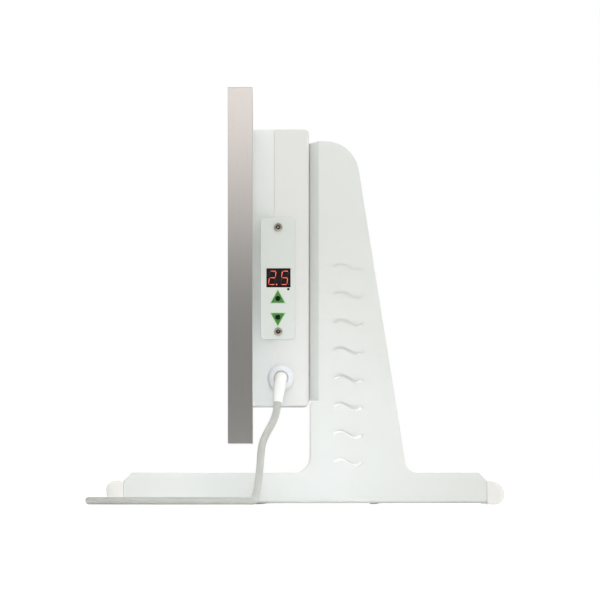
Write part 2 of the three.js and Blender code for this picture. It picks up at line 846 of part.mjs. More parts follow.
/** The moulded tub behind the plate, which holds the board, the display and the switches. */
function controlHousing() {
  const outer = rectangle(plateX, housingZ, housingWidth, housingHeight, housingWall);
  const inner = rectangle(plateX, housingZ, housingWidth - 2 * housingWall, housingHeight - 2 * housingWall);
  const { x, z } = controlLeadExit;
  const backY = housingFloorY + housingWall;
  return cut(
    extrudeY(outer, caseSideY, backY),
    extrudeY(inner, caseSideY - overrun, housingFloorY),
    barY(controlLead + 2 * seatGap, x, z, housingFloorY - overrun, backY + overrun),
  );
}

function controlBoard() {
  const clearance = 2 * (housingWall + seatGap);
  const outline = rectangle(plateX, housingZ, housingWidth - clearance, housingHeight - clearance);
  return extrudeY(outline, boardFrontY, boardFrontY + boardThickness);
}

function displayLens() {
  const outline = rectangle(display.x, display.z, displayWidth, displayHeight);
  return extrudeY(outline, moduleFrontY - seatGap - lensThickness, moduleFrontY - seatGap);
}

function displayModule() {
  const outline = rectangle(plateX, display.z, moduleWidth, moduleHeight);
  return extrudeY(outline, moduleFrontY, moduleFrontY + moduleDepth);
}

/** A push button: its round cap in the plate, a flange that keeps it in, and a stem into its switch. */
function pushButton({ x, z }) {
  const flangeY = plateRearY + seatGap;
  const stemEnd = switchFrontY + stemReach;
  const chamfer = buttonProud / 2;
  const body = turned([
    [0, plateFaceY - buttonProud],
    [buttonDiameter / 2 - chamfer, plateFaceY - buttonProud],
    [buttonDiameter / 2, plateFaceY - buttonProud + chamfer],
    [buttonDiameter / 2, flangeY],
    [buttonFlange / 2, flangeY],
    [buttonFlange / 2, flangeY + buttonFlangeHeight],
    [stemDiameter / 2, flangeY + buttonFlangeHeight],
    [stemDiameter / 2, stemEnd],
    [0, stemEnd],
  ]);
  return body.translate(x, 0, z);
}

function tactSwitch({ x, z }) {
  const housing = rectangle(x, z, switchWidth, switchWidth);
  const well = barY(stemDiameter + 2 * seatGap, x, z, switchFrontY - overrun, switchFrontY + switchWellDepth);
  return cut(extrudeY(housing, switchFrontY, switchFrontY + switchHeight), well);
}

function controls() {
  const eye = barY(sensorDiameter, sensor.x, sensor.z, plateFaceY, boardFrontY - seatGap);
  return group(
    piece("control_plate", controlPlate(), paintedSteel()),
    plateScrew("plate_screw_upper", plateScrews[0]),
    plateScrew("plate_screw_lower", plateScrews[1]),
    piece("control_housing", controlHousing(), whitePlastic()),
    piece("control_board", controlBoard(), circuitBoard()),
    piece("display_lens", displayLens(), smokedAcrylic()),
    piece("display_module", displayModule(), darkPlastic()),
    piece("button_up", pushButton(buttonUp), greenPlastic()),
    piece("button_down", pushButton(buttonDown), greenPlastic()),
    piece("switch_up", tactSwitch(buttonUp), darkPlastic()),
    piece("switch_down", tactSwitch(buttonDown), darkPlastic()),
    piece("room_sensor", eye, darkPlastic()),
  );
}

// Power electronics inside the case

function boardComponent({ width, height, depth, corner }, offset) {
  const { y, z } = onPowerBoard(offset);
  return extrudeX(rectangle(y, z, width, height, corner), componentX, componentX + depth);
}

/** The terminal block, with the wire entries in its lower side. */
function terminalBlock() {
  const entryX = componentX + terminalSize.depth / 2;
  const bottom = terminal.z - terminalSize.height / 2;
  const entries = centredRow(3, terminalPitch).map((dy) => {
    const [radius, length] = [terminalBore / 2, terminalBoreDepth + overrun];
    const bore = new THREE.CylinderGeometry(radius, radius, length, drillSides);
    const centreZ = bottom + (terminalBoreDepth - overrun) / 2;
    return bore.rotateX(Math.PI / 2).translate(entryX, terminal.y + dy, centreZ);
  });
  return cut(boardComponent(terminalSize, terminalOffset), ...entries);
}

function powerBoardSheet() {
  const outline = rectangle(powerBoard.y, powerBoard.z, powerBoardWidth, powerBoardHeight);
  return extrudeX(outline, powerBoardX, powerBoardX + boardThickness);
}

/** The bimetal cut-out: a round cap between two tabs, flat on the tray's floor. */
function thermalCutout() {
  const fromX = trayFloorX + seatGap;
  const z = caseCentreZ + cutoutRise;
  const tabs = rectangle(cutoutAside, z, cutoutTabLength, cutoutTabWidth);
  const cap = barX(cutoutDiameter, cutoutAside, z, fromX, fromX + cutoutHeight, roundSides);
  return joined(extrudeX(tabs, fromX, fromX + cutoutTabHeight), cap);
}

/** The earth stud: its head in front of the tray's floor and a nut behind it. */
function earthStud() {
  const nutX = trayFloorX + seatGap;
  const nut = extrudeX(polygon(acrossFlats(studNut), 6), nutX, nutX + studNutHeight).translate(0, studY, studZ);
  return joined(barX(studDiameter, studY, studZ, trayFrontX, trayFloorX + studLength), nut);
}

/** The grommet that carries the heater leads through the tray's floor. */
function leadGrommet() {
  const rearX = trayFloorX + seatGap + grommetLip;
  const lip = barX(grommetDiameter, grommetY, grommetZ, trayFloorX + seatGap, rearX, roundSides);
  const sleeve = barX(grommetGroove - 2 * seatGap, grommetY, grommetZ, trayFrontX, rearX, roundSides);
  return cut(joined(lip, sleeve), barX(grommetBore, grommetY, grommetZ, trayFrontX - overrun, rearX + overrun));
}

/** One heater lead: from the edge of the power board, over its edge and through the grommet to the element. */
function heaterLeadTube(offset) {
  const startX = powerBoardX + boardThickness + seatGap + heaterLead / 2;
  const boardEdgeY = powerBoard.y + powerBoardWidth / 2;
  const z = grommetZ + offset;
  const bendShare = 0.6;
  const halfwayY = THREE.MathUtils.lerp(boardEdgeY, grommetY, bendShare);
  const route = [
    [startX, boardEdgeY - bossInset, z],
    [startX, boardEdgeY, z],
    [startX, halfwayY, z],
    [trayFloorX, grommetY, z],
    [insulationRearX, grommetY, z],
    [insulationFrontX, grommetY, z],
  ];
  return tube(curveThrough(route), heaterLead, leadSides, leadSteps);
}

/** One core of the mains cord, from the end of its sheath up into the terminal block. */
function coreTube(row) {
  const bottom = terminal.z - terminalSize.height / 2;
  const entry = [componentX + terminalSize.depth / 2, terminal.y + row * terminalPitch];
  const start = [glandX, sheathEndY + seatGap, glandZ];
  const rise = bottom - glandZ;
  const [outShare, turnShare] = [0.3, 0.8];
  const route = [
    [start[0] + row * corePitch, start[1], start[2]],
    [start[0] + row * corePitch, THREE.MathUtils.lerp(start[1], entry[1], outShare), start[2]],
    [THREE.MathUtils.lerp(start[0], entry[0], turnShare), entry[1], glandZ + (rise * turnShare) / 2],
    [entry[0], entry[1], bottom - seatGap],
    [entry[0], entry[1], bottom + terminalBoreDepth - seatGap],
  ];
  return tube(curveThrough(route), coreDiameter, leadSides, leadSteps);
}

/** The lead from the control housing to the power board. */
function controlLeadTube() {
  const { x, z } = controlLeadExit;
  const startY = boardFrontY + boardThickness + seatGap;
  const endX = componentX + controlLead / 2;
  const endY = powerBoard.y - powerBoardWidth / 2 + bossInset;
  const route = [
    [x, startY, z],
    [x, housingFloorY + housingWall + controlLead, z],
    [(x + endX) / 2, (startY + endY) / 2, z],
    [endX, endY - bossInset, z],
    [endX, endY, z],
  ];
  return tube(curveThrough(route), controlLead, leadSides, leadSteps);
}

function electronics() {
  const { y, z } = onPowerBoard(capacitorOffset);
  const capacitor = barX(capacitorDiameter, y, z, componentX, componentX + capacitorLength);
  return group(
    piece("power_board", powerBoardSheet(), circuitBoard()),
    piece("relay", boardComponent(relaySize, relayOffset), darkPlastic()),
    piece("transformer", boardComponent(transformerSize, transformerOffset), darkPlastic()),
    piece("capacitor", capacitor, darkPlastic()),
    piece("terminal_block", terminalBlock(), whitePlastic()),
    piece("thermal_cutout", thermalCutout(), zincSteel()),
    piece("earth_stud", earthStud(), brass()),
    piece("lead_grommet", leadGrommet(), darkPlastic()),
    piece("heater_lead_live", heaterLeadTube(heaterLeadSpacing / 2), whitePlastic()),
    piece("heater_lead_neutral", heaterLeadTube(-heaterLeadSpacing / 2), whitePlastic()),
    piece("core_live", coreTube(-1), darkPlastic()),
    piece("core_neutral", coreTube(0), darkPlastic()),
    piece("core_earth", coreTube(1), greenPlastic()),
    piece("control_lead", controlLeadTube(), darkPlastic()),
  );
}

// Cable gland, cord and plug

/** The gland's body: a barrel through the wall, a collar against it and a threaded end for the dome nut. */
function glandBody() {
  const bore = glandBore / 2;
  return turned([
    [bore, threadY - glandThreadLength],
    [glandThread / 2, threadY - glandThreadLength],
    [glandThread / 2, threadY],
    [glandCollar / 2, threadY],
    [glandCollar / 2, collarY],
    [glandBarrel / 2, collarY],
    [glandBarrel / 2, collarY + glandBarrelLength],
    [bore, collarY + glandBarrelLength],
  ]);
}

function glandLocknut() {
  const fromY = caseSideY + 2 * lipInset;
  const toY = fromY + locknutHeight;
  const hexagon = extrudeY(polygon(acrossFlats(locknutAcross), 6, Math.PI / 6), fromY, toY);
  return cut(hexagon, barY(glandBarrel + 2 * seatGap, 0, 0, fromY - overrun, toY + overrun, roundSides));
}

/** The dome nut: a straight skirt that rounds in to the mouth where the cord comes out. */
function glandDomeNut() {
  const radius = domeDiameter / 2;
  const mouth = domeMouth / 2;
  const crown = domeHeight - domeSkirt;
  const arc = Array.from({ length: domeSteps + 1 }, (_, step) => {
    const angle = (step / domeSteps) * (Math.PI / 2);
    return [mouth + (radius - mouth) * Math.cos(angle), domeBackY - domeSkirt - crown * Math.sin(angle)];
  });
  const cavity = glandThread / 2 + seatGap;
  const cavityEnd = domeBackY - domeHeight + domeSeat;
  return turned([
    [cavity, domeBackY],
    [radius, domeBackY],
    ...arc,
    [mouth, cavityEnd],
    [cavity, cavityEnd + domeWall],
  ]);
}

function plugBody() {
  const shoulderShare = 0.35;
  const gripX = plugNeckLength + plugGripLength;
  const faceX = gripX + plugFaceThickness;
  const body = turned([
    [0, 0],
    [plugEntry / 2, 0],
    [plugNeck / 2, plugNeckLength],
    [plugGrip / 2, plugNeckLength + plugGripLength * shoulderShare],
    [plugGrip / 2, gripX],
    [plugFace / 2, gripX],
    [plugFace / 2, faceX],
    [0, faceX],
  ]);
  return body.rotateZ(-Math.PI / 2).translate(plugEntryX, plugY, plugZ);
}

function plugPin(side) {
  const fromX = plugEntryX + plugNeckLength + plugGripLength + plugFaceThickness + seatGap;
  return barX(pinDiameter, plugY + (side * pinSpacing) / 2, plugZ, fromX, fromX + pinLength);
}

/** The coiled stretch of the cord, as the ring that its turns fill. */
function cordCoil() {
  const ring = turned(
    [
      [coilInner, 0],
      [coilOuter, 0],
      [coilOuter, coilLayers * cordDiameter],
      [coilInner, coilLayers * cordDiameter],
    ],
    coilSides,
  );
  return ring.rotateX(Math.PI / 2).translate(coilX, coilY, 0);
}

function mainsLead() {
  const mains = curveThrough(fromCaseSide(mainsRoute));
  const plugLead = curveThrough(fromCaseSide(plugRoute));
  const reliefCurve = new Stretch(mains, 0, reliefLength);
  const cordCurve = new Stretch(mains, reliefLength + seatGap, mains.getLength());
  const relief = taperedAlong(reliefCurve, reliefRootDiameter, reliefTipDiameter, drillSides, reliefRings);
  const tail = barY(cordDiameter, glandX, glandZ, reliefStartY + seatGap, sheathEndY);
  return group(
    piece("gland_body", glandBody().translate(glandX, 0, glandZ), whitePlastic()),
    piece("gland_locknut", glandLocknut().translate(glandX, 0, glandZ), whitePlastic()),
    piece("gland_dome_nut", glandDomeNut().translate(glandX, 0, glandZ), whitePlastic()),
    piece("bend_relief", relief, whitePlastic()),
    piece("cord_tail", tail, cordSheath()),
    piece("mains_cord", tube(cordCurve, cordDiameter, cordSides, cordSteps), cordSheath()),
    piece("cord_coil", cordCoil(), cordSheath()),
    piece("plug_lead", tube(plugLead, cordDiameter, cordSides, plugLeadSteps), cordSheath()),
    piece("plug_body", plugBody(), whitePlastic()),
    piece("plug_pin_live", plugPin(-1), zincSteel()),
    piece("plug_pin_neutral", plugPin(1), zincSteel()),
  );
}

// Legs

/** The leg's flat side: the foot's face and the upright, cut from one sheet. */
function legFace() {
  const bottom = footLift + legBend + legSheet;
  const outline = roundedOutline([
    [-footEndX, bottom],
    [footEndX, bottom],
    [footEndX, footHeight - footChamfer],
    [footEndX - footChamfer, footHeight],
    [foldX + uprightFootWidth, footHeight, rearFillet],
    [foldX + uprightTopWidth, uprightTopZ, uprightTopRadius],
    [foldX, uprightTopZ],
    [foldX, flangeBottomZ],
    [foldX + reliefOvercut, flangeBottomZ],
    [foldX + reliefOvercut, reliefBottomZ],
    [caseRearX + uprightGap, reliefBottomZ],
    [caseRearX + uprightGap, footHeight, frontFillet],
    [footChamfer - footEndX, footHeight],
    [-footEndX, footHeight - footChamfer],
  ]);
  return extrudeY(outline, legFaceY, legFaceY + legSheet);
}

/** The foot's lower edge, folded inwards into the flange that the heater stands on. */
function footFlange() {
  const middleY = legFaceY + legSheet / 2;
  const middleZ = footLift + legSheet / 2;
  const section = foldedSheet(
    [
      [middleY, footHeight / 2],
      [middleY, middleZ],
      [legFaceY + footDepth, middleZ],
    ],
    legSheet,
    legBend,
  );
  return extrudeX(section, -footEndX, footEndX);
}

/** The upright's front edge, folded back to the case: a slanted web and the flange that the screws hold. */
function webAndFlange() {
  const middleY = legFaceY + legSheet / 2;
  const flangeStartY = legFaceY + webInset;
  const section = foldedSheet(
    [
      [foldX + legBend + legSheet, middleY],
      [foldX, middleY],
      [flangeX, flangeStartY],
      [flangeX, flangeStartY + flangeWidth],
    ],
    legSheet,
    legBend,
  );
  const web = extrudeZ(section, flangeBottomZ, uprightTopZ);
  const slope = roundedOutline([
    [foldX, uprightTopZ],
    [caseRearX, flangeTopZ],
    [caseRearX, uprightTopZ + overrun],
    [foldX, uprightTopZ + overrun],
  ]);
  return cut(web, extrudeY(slope, legFaceY - overrun, flangeStartY + flangeWidth + overrun));
}

/** One wave-shaped slot: a sine line of an even stroke. */
function waveSlot(z) {
  const lineAt = (share) => [
    foldX + waveReach + (share - 1 / 2) * waveLength,
    z + (waveHeight / 2) * Math.sin(share * 2 * Math.PI),
  ];
  const slopeAt = (share) => ((waveHeight / 2) * 2 * Math.PI * Math.cos(share * 2 * Math.PI)) / waveLength;
  const edge = (side) =>
    Array.from({ length: waveSteps + 1 }, (_, i) => {
      const [x, lineZ] = lineAt(i / waveSteps);
      const slope = slopeAt(i / waveSteps);
      const reach = (side * waveStroke) / 2 / Math.hypot(1, slope);
      return [x - slope * reach, lineZ + reach];
    });
  const outline = roundedOutline([...edge(-1), ...edge(1).reverse()]);
  return extrudeY(outline, legFaceY - overrun, legFaceY + legSheet + overrun);
}

function leg() {
  const blank = joined(legFace(), footFlange(), webAndFlange());
  const lowestZ = footHeight + waveFirstRise;
  const slots = Array.from({ length: waveCount }, (_, i) => waveSlot(lowestZ + i * wavePitch));
  return cut(blank, ...slots, ...legScrewDrills(flangeCentreY));
}

/** An end cap: a rounded shoe past the end of the foot, and a tongue behind its face. One moulding, fitted
 * with its long curve below at the front and above at the rear. */
function endCap(side) {
  const fromX = footEndX + seatGap;
  const toX = footEndX + capReach;
  const innerY = legFaceY + footDepth;
  const [soleRadius, topRadius] = side < 0 ? [capLongRadius, capBluntRadius] : [capBluntRadius, capLongRadius];
  const profile = roundedOutline([
    [fromX, 0],
    [toX, 0, soleRadius],
    [toX, capHeight, topRadius],
    [fromX, capHeight],
  ]);
  const plan = roundedOutline([
    [fromX, legFaceY],
    [toX, legFaceY, capSideRadius],
    [toX, innerY, capSideRadius],
    [fromX, innerY],
  ]);
  const shoe = common(extrudeY(profile, legFaceY, innerY), extrudeZ(plan, 0, capHeight));
  const tongueZ = footLift + legSheet + seatGap;
  const tongueY = legFaceY + legSheet + seatGap;
  const section = roundedOutline([
    [tongueY, tongueZ, legBend],
    [innerY - legSheet, tongueZ],
    [innerY - legSheet, tongueZ + tongueHeight],
    [tongueY, tongueZ + tongueHeight],
  ]);
  const tongue = extrudeX(section, footEndX - tongueLength, fromX + capReach / 2);
  const cap = joined(shoe, tongue);
  return side < 0 ? surfaceOf(solidOf(cap).mirror([1, 0, 0])) : cap;
}

function legScrew(name, z) {
  const geometry = buttonHeadScrew(
    legScrewHead,
    legScrewHeadHeight,
    legScrewShank,
    legScrewLength,
    legSocket,
    legSocketDepth,
  );
  const mesh = piece(name, geometry, zincSteel());
  mesh.rotation.z = Math.PI / 2;
  mesh.position.set(flangeX + legSheet / 2 + seatGap, flangeCentreY, z);
  return mesh;
}

/** A leg with its end caps and screws, as it stands on the near side; the far one is its mirror image. */
function legAssembly(side) {
  const screwNames = ["lower", "middle", "upper"];
  return group(
    piece(`leg_${side}`, leg(), paintedSteel()),
    piece(`end_cap_${side}_front`, endCap(-1), capPlastic()),
    piece(`end_cap_${side}_rear`, endCap(1), capPlastic()),
    ...legScrewZ.map((z, i) => legScrew(`leg_screw_${side}_${screwNames[i]}`, z)),
  );
}

function legs() {
  const far = legAssembly("far");
  far.scale.y = -1;
  return group(legAssembly("near"), far);
}

const heater = group(
  edgeFrame(),
  panelContents(),
  heaterCase(),
  controls(),
  electronics(),
  mainsLead(),
  legs(),
);

export default heater;
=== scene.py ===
"""Dressed model of a free-standing panel heater: brushed edge frame with a stone tile, powder-coated case,
control plate, mains lead and bent sheet-steel legs."""
import logging
import math
from dataclasses import dataclass
from enum import Enum
from typing import Iterable, Sequence

import bmesh
import bpy
from mathutils import Matrix, Vector


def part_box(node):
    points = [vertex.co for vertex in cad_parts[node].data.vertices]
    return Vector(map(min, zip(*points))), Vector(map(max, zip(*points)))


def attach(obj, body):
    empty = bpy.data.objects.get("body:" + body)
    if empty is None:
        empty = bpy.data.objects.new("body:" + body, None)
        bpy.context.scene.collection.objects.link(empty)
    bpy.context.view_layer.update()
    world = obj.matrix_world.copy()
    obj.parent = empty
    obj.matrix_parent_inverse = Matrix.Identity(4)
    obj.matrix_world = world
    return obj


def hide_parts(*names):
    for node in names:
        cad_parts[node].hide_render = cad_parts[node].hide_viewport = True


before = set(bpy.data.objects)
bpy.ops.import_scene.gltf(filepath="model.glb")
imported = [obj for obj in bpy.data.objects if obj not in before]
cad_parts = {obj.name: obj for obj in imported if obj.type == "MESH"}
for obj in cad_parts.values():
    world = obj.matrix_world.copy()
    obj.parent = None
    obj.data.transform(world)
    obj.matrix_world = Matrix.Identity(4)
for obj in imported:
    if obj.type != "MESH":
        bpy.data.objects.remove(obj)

log = logging.getLogger("heater")

Chip = tuple[int, int, int]
Tone = tuple[float, float, float, float]
Pair = tuple[float, float]
Point = tuple[float, float, float]
Stops = tuple[tuple[float, Chip], ...]
Shape = bmesh.types.BMesh
Vert = bmesh.types.BMVert
Edge = bmesh.types.BMEdge
Face = bmesh.types.BMFace
Socket = bpy.types.NodeSocket

BODY = "heater"
MM = 0.001
WELD = 1e-6
FLAT_WITHIN = math.radians(0.6)
SHARP_TURN = math.radians(28.0)
SMOOTH_TURN = math.radians(40.0)
QUARTER_TURN = math.radians(90.0)
FULL_TURN = math.radians(360.0)
NOISE_BULK = (0.3, 0.7)
CENTRE = (0.0, 0.0, 0.0)
WHITE = (1.0, 1.0, 1.0, 1.0)
SAME = (0, 0, 0)


def linear(chip: Chip) -> Tone:
    """Linear colour of a paint chip.

    Args:
        chip: red, green and blue of the chip, 0 to 255.

    Returns:
        The colour as a shader socket takes it.
    """
    def channel(value: int) -> float:
        """One channel without its display curve."""
        share = value / 255
        return share / 12.92 if share <= 0.04045 else ((share + 0.055) / 1.055) ** 2.4

    red, green, blue = map(channel, chip)
    return red, green, blue, 1.0


def shifted(chip: Chip, change: Chip) -> Chip:
    """A darker or lighter chip: each of its values changed, within 0 to 255."""
    red, green, blue = (min(max(value + step, 0), 255) for value, step in zip(chip, change))
    return red, green, blue


# Finishes


class NodeSheet:
    """The node tree of a material or a world while it is put together."""

    def __init__(self, owner: bpy.types.Material | bpy.types.World) -> None:
        """Clears the owner's tree and gives it an output.

        Args:
            owner: the material or the world.
        """
        owner.use_nodes = True
        self.nodes = owner.node_tree.nodes
        self.links = owner.node_tree.links
        self.nodes.clear()
        kind = "OutputWorld" if isinstance(owner, bpy.types.World) else "OutputMaterial"
        self.surface = self.node(kind).inputs["Surface"]

    def node(self, kind: str, *first: Socket, **named: object) -> bpy.types.Node:
        """Adds a node.

        Args:
            kind: its type, without the leading ShaderNode.
            first: sockets that feed its first inputs, in order.
            named: other inputs, as feed takes them.

        Returns:
            The node.
        """
        node = self.nodes.new("ShaderNode" + kind)
        for entry, socket in zip(node.inputs, first):
            self.links.new(socket, entry)
        self.feed(node, **named)
        return node

    def feed(self, node: bpy.types.Node, **named: object) -> None:
        """Sets or links inputs of a node.

        Args:
            node: the node.
            named: input name, with an underscore for each space, and its value or the socket that feeds it.
        """
        for name, value in named.items():
            entry = node.inputs[name.replace("_", " ")]
            if isinstance(value, Socket):
                self.links.new(value, entry)
            else:
                entry.default_value = value

    def shown(self, shader: bpy.types.Node) -> None:
        """Leads a shader to the output."""
        self.links.new(shader.outputs[0], self.surface)

    def mapped(self, value: Socket, source: Pair, target: Pair, soft: bool = False) -> Socket:
        """Maps a value from one range to another.

        Args:
            value: what is mapped.
            source: start and end of its own range.
            target: results at the start and at the end.
            soft: whether it leaves the start and nears the end slowly.

        Returns:
            The mapped value.
        """
        ramp = self.node("MapRange", Value=value, From_Min=source[0], From_Max=source[1],
                         To_Min=target[0], To_Max=target[1])
        if soft:
            ramp.interpolation_type = "SMOOTHSTEP"
        return ramp.outputs["Result"]

    def reckoned(self, operation: str, first: Socket, second: Socket) -> Socket:
        """Reckons with two values.

        Args:
            operation: the Math node's operation.
            first: the first value.
            second: the second value.

        Returns:
            The result.
        """
        step = self.node("Math", first, second)
        step.operation = operation
        return step.outputs[0]

    def looked_at(self) -> Socket:
        """Tells rays that look, straight, mirrored or through glass, from rays that light.

        Returns:
            A socket that is 1 on a ray that looks and 0 on any other.
        """
        path = self.node("LightPath").outputs
        mirrored = self.reckoned("MAXIMUM", path["Is Camera Ray"], path["Is Glossy Ray"])
        return self.reckoned("MAXIMUM", mirrored, path["Is Transmission Ray"])


@dataclass(frozen=True)
class Grain:
    """A noise: its grains to a metre, its octaves, the share of the finer ones and a factor along each axis.

    As cells it is the distance to the nearest of scattered centres.
    """

    scale: float = 1.0
    detail: float = 2.0
    roughness: float = 0.5
    squeeze: Point | None = None
    cells: bool = False


class FinishSheet(NodeSheet):
    """The node tree of one finish, round a principled shader."""

    def __init__(self, owner: bpy.types.Material) -> None:
        """Starts a finish.

        Args:
            owner: its material.
        """
        super().__init__(owner)
        self.shader = self.node("BsdfPrincipled")
        self.shown(self.shader)
        self.place = self.node("TexCoord").outputs["Object"]

    def noise(self, grain: Grain) -> Socket:
        """The value of a noise over the piece.

        Args:
            grain: the noise.

        Returns:
            Its value socket.
        """
        place = self.place
        if grain.squeeze:
            place = self.node("Mapping", place, Scale=grain.squeeze).outputs["Vector"]
        if grain.cells:
            return self.node("TexVoronoi", place, Scale=grain.scale).outputs["Distance"]
        return self.node("TexNoise", place, Scale=grain.scale, Detail=grain.detail,
                         Roughness=grain.roughness).outputs["Fac"]

    def tones(self, value: Socket, stops: Stops) -> Socket:
        """Colours along a noise value.

        Args:
            value: the noise.
            stops: pairs of place and paint chip, lowest first.

        Returns:
            The colour socket.
        """
        ramp = self.node("ValToRGB", value)
        elements = ramp.color_ramp.elements
        while len(elements) < len(stops):
            elements.new(0.5)
        for element, (place, chip) in zip(elements, stops):
            element.position = place
            element.color = linear(chip)
        return ramp.outputs["Color"]


@dataclass(frozen=True)
class Finish:
    """A finish that is made once and then shared by its pieces.

    Along the clouds the shade changes by so much at each stop. The roughness goes from one value to the
    other along the haze, and the relief, so deep in metres and felt by its strength, follows the bumps. Haze
    and bumps that aren't given are the clouds. Each kind has its own values.
    """

    name: str
    shade: Chip
    stops: Stops = ()
    clouds: Grain = Grain()
    haze: Grain | None = None
    roughness: Pair = (0.4, 0.4)
    bumps: Grain | None = None
    depth: float = 0.0
    strength: float = 0.0
    metal: float = 0.0
    shine: float = 0.5
    glow: float = 0.0

    def material(self) -> bpy.types.Material:
        """The Blender material, made at its first use.

        Returns:
            The shared material.
        """
        known = bpy.data.materials.get(self.name)
        if known is None:
            known = bpy.data.materials.new(self.name)
            self.draw(FinishSheet(known))
        return known

    def draw(self, sheet: FinishSheet) -> None:
        """Puts the finish on its sheet.

        Args:
            sheet: the finish's empty tree.
        """
        clouds = sheet.noise(self.clouds)
        haze = sheet.noise(self.haze) if self.haze else clouds
        tones = sheet.tones(clouds, [(place, shifted(self.shade, change)) for place, change in self.stops])
        low, high = self.roughness
        rough = sheet.mapped(haze, NOISE_BULK, (low, high)) if high > low else low
        sheet.feed(sheet.shader, Base_Color=tones, Roughness=rough, Metallic=self.metal,
                   Specular_IOR_Level=self.shine)
        if self.strength:
            height = sheet.noise(self.bumps) if self.bumps else clouds
            bump = sheet.node("Bump", Strength=self.strength, Distance=self.depth, Height=height)
            sheet.feed(sheet.shader, Normal=bump.outputs["Normal"])
        if self.glow:
            sheet.feed(sheet.shader, Emission_Color=tones, Emission_Strength=self.glow)


@dataclass(frozen=True)
class PowderCoat(Finish):
    """Baked powder coat on sheet steel: broad cloudiness, slightly uneven gloss and a fine orange peel."""

    stops: Stops = ((0.3, (-3, -3, -4)), (0.7, SAME))
    clouds: Grain = Grain(9, detail=3)
    haze: Grain = Grain(60, detail=4)
    roughness: Pair = (0.34, 0.44)
    bumps: Grain = Grain(520)
    depth: float = 0.06 * MM
    strength: float = 0.35


class Brushing(Enum):
    """The scratches of a rail that is brushed along its length."""

    UPRIGHT = Grain(detail=4, roughness=0.6, squeeze=(4200.0, 4200.0, 22.0))
    ACROSS = Grain(detail=4, roughness=0.6, squeeze=(4200.0, 22.0, 4200.0))


@dataclass(frozen=True)
class BrushedSteel(Finish):
    """Brushed stainless steel: long fine scratches in colour, gloss and relief."""

    shade: Chip = (228, 220, 215)
    stops: Stops = ((0.25, (-5, -5, -5)), (0.5, SAME), (0.8, (5, 5, 5)))
    roughness: Pair = (0.27, 0.33)
    depth: float = 0.008 * MM
    strength: float = 0.2
    metal: float = 1.0


@dataclass(frozen=True)
class PlatedSteel(Finish):
    """Zinc or nickel plate on small hardware, blotchy and unevenly glossy."""

    stops: Stops = ((0.35, (-26, -27, -30)), (0.65, SAME))
    clouds: Grain = Grain(240, detail=3)
    haze: Grain = Grain(900, detail=3)
    depth: float = 0.02 * MM
    strength: float = 0.2
    metal: float = 1.0


@dataclass(frozen=True)
class StoneTile(Finish):
    """Matt stoneware: clouded beige with a slightly pitted face."""

    shade: Chip = (211, 202, 186)
    stops: Stops = ((0.3, (-8, -8, -8)), (0.48, SAME), (0.62, (6, 7, 8)), (0.75, (-5, -5, -5)))
    clouds: Grain = Grain(11, detail=8, roughness=0.62)
    haze: Grain = Grain(700, detail=4)
    roughness: Pair = (0.42, 0.62)
    bumps: Grain = Grain(380, detail=6, roughness=0.6)
    depth: float = 0.25 * MM
    strength: float = 0.4


@dataclass(frozen=True)
class MouldedPlastic(Finish):
    """Injection-moulded plastic: nearly even colour with a fine spark-eroded grain."""

    stops: Stops = ((0.35, (-5, -5, -6)), (0.65, SAME))
    clouds: Grain = Grain(40, detail=3)
    haze: Grain = Grain(500)
    roughness: Pair = (0.36, 0.46)
    bumps: Grain = Grain(1500)
    depth: float = 0.03 * MM
    strength: float = 0.3


@dataclass(frozen=True)
class CordSheath(Finish):
    """Extruded soft sheath of a mains cord: satin with faint handling marks."""

    stops: Stops = ((0.3, (-8, -8, -9)), (0.6, SAME))
    clouds: Grain = Grain(55, detail=4)
    roughness: Pair = (0.36, 0.5)
    bumps: Grain = Grain(900)
    depth: float = 0.04 * MM
    strength: float = 0.3


@dataclass(frozen=True)
class SmokedLens(Finish):
    """Window in front of the digits: nearly black with a warm tint and hairline scuffs."""

    shade: Chip = (40, 24, 24)
    stops: Stops = ((0.3, (-14, -8, -6)), (0.7, SAME))
    clouds: Grain = Grain(160, detail=3)
    haze: Grain = Grain(detail=4, roughness=0.6, squeeze=(90.0, 1.0, 1400.0))
    roughness: Pair = (0.1, 0.24)
    shine: float = 0.25


@dataclass(frozen=True)
class LitSegment(Finish):
    """Segment of the display with an orange-red glow that is a little uneven."""

    shade: Chip = (238, 122, 98)
    stops: Stops = ((0.3, (-18, -38, -36)), (0.7, SAME))
    clouds: Grain = Grain(600)
    glow: float = 0.75


@dataclass(frozen=True)
class PrintInk(Finish):
    """Screen-printed ink on the control plate, with a slightly mottled cover."""

    stops: Stops = ((0.35, SAME), (0.72, (22, 20, 22)))
    clouds: Grain = Grain(420, detail=4, roughness=0.65)
    roughness: Pair = (0.42, 0.56)
    depth: float = 0.01 * MM
    strength: float = 0.3


@dataclass(frozen=True)
class CircuitLacquer(Finish):
    """Green solder lacquer on a circuit board, with paler runs where the copper lies."""

    shade: Chip = (20, 72, 44)
    stops: Stops = ((0.18, (20, 32, 18)), (0.3, SAME), (0.8, (-4, -10, -6)))
    clouds: Grain = Grain(210, cells=True)
    haze: Grain = Grain(300, detail=3)
    roughness: Pair = (0.26, 0.4)
    depth: float = 0.03 * MM
    strength: float = 0.4


@dataclass(frozen=True)
class WoolMat(Finish):
    """Pressed mineral wool: matted fibres with lighter tufts."""

    shade: Chip = (214, 200, 158)
    stops: Stops = ((0.3, (-38, -42, -46)), (0.7, SAME))
    clouds: Grain = Grain(420, detail=8, roughness=0.7, squeeze=(1.0, 0.35, 1.0))
    roughness: Pair = (0.85, 0.98)
    depth: float = 0.6 * MM
    strength: float = 0.8


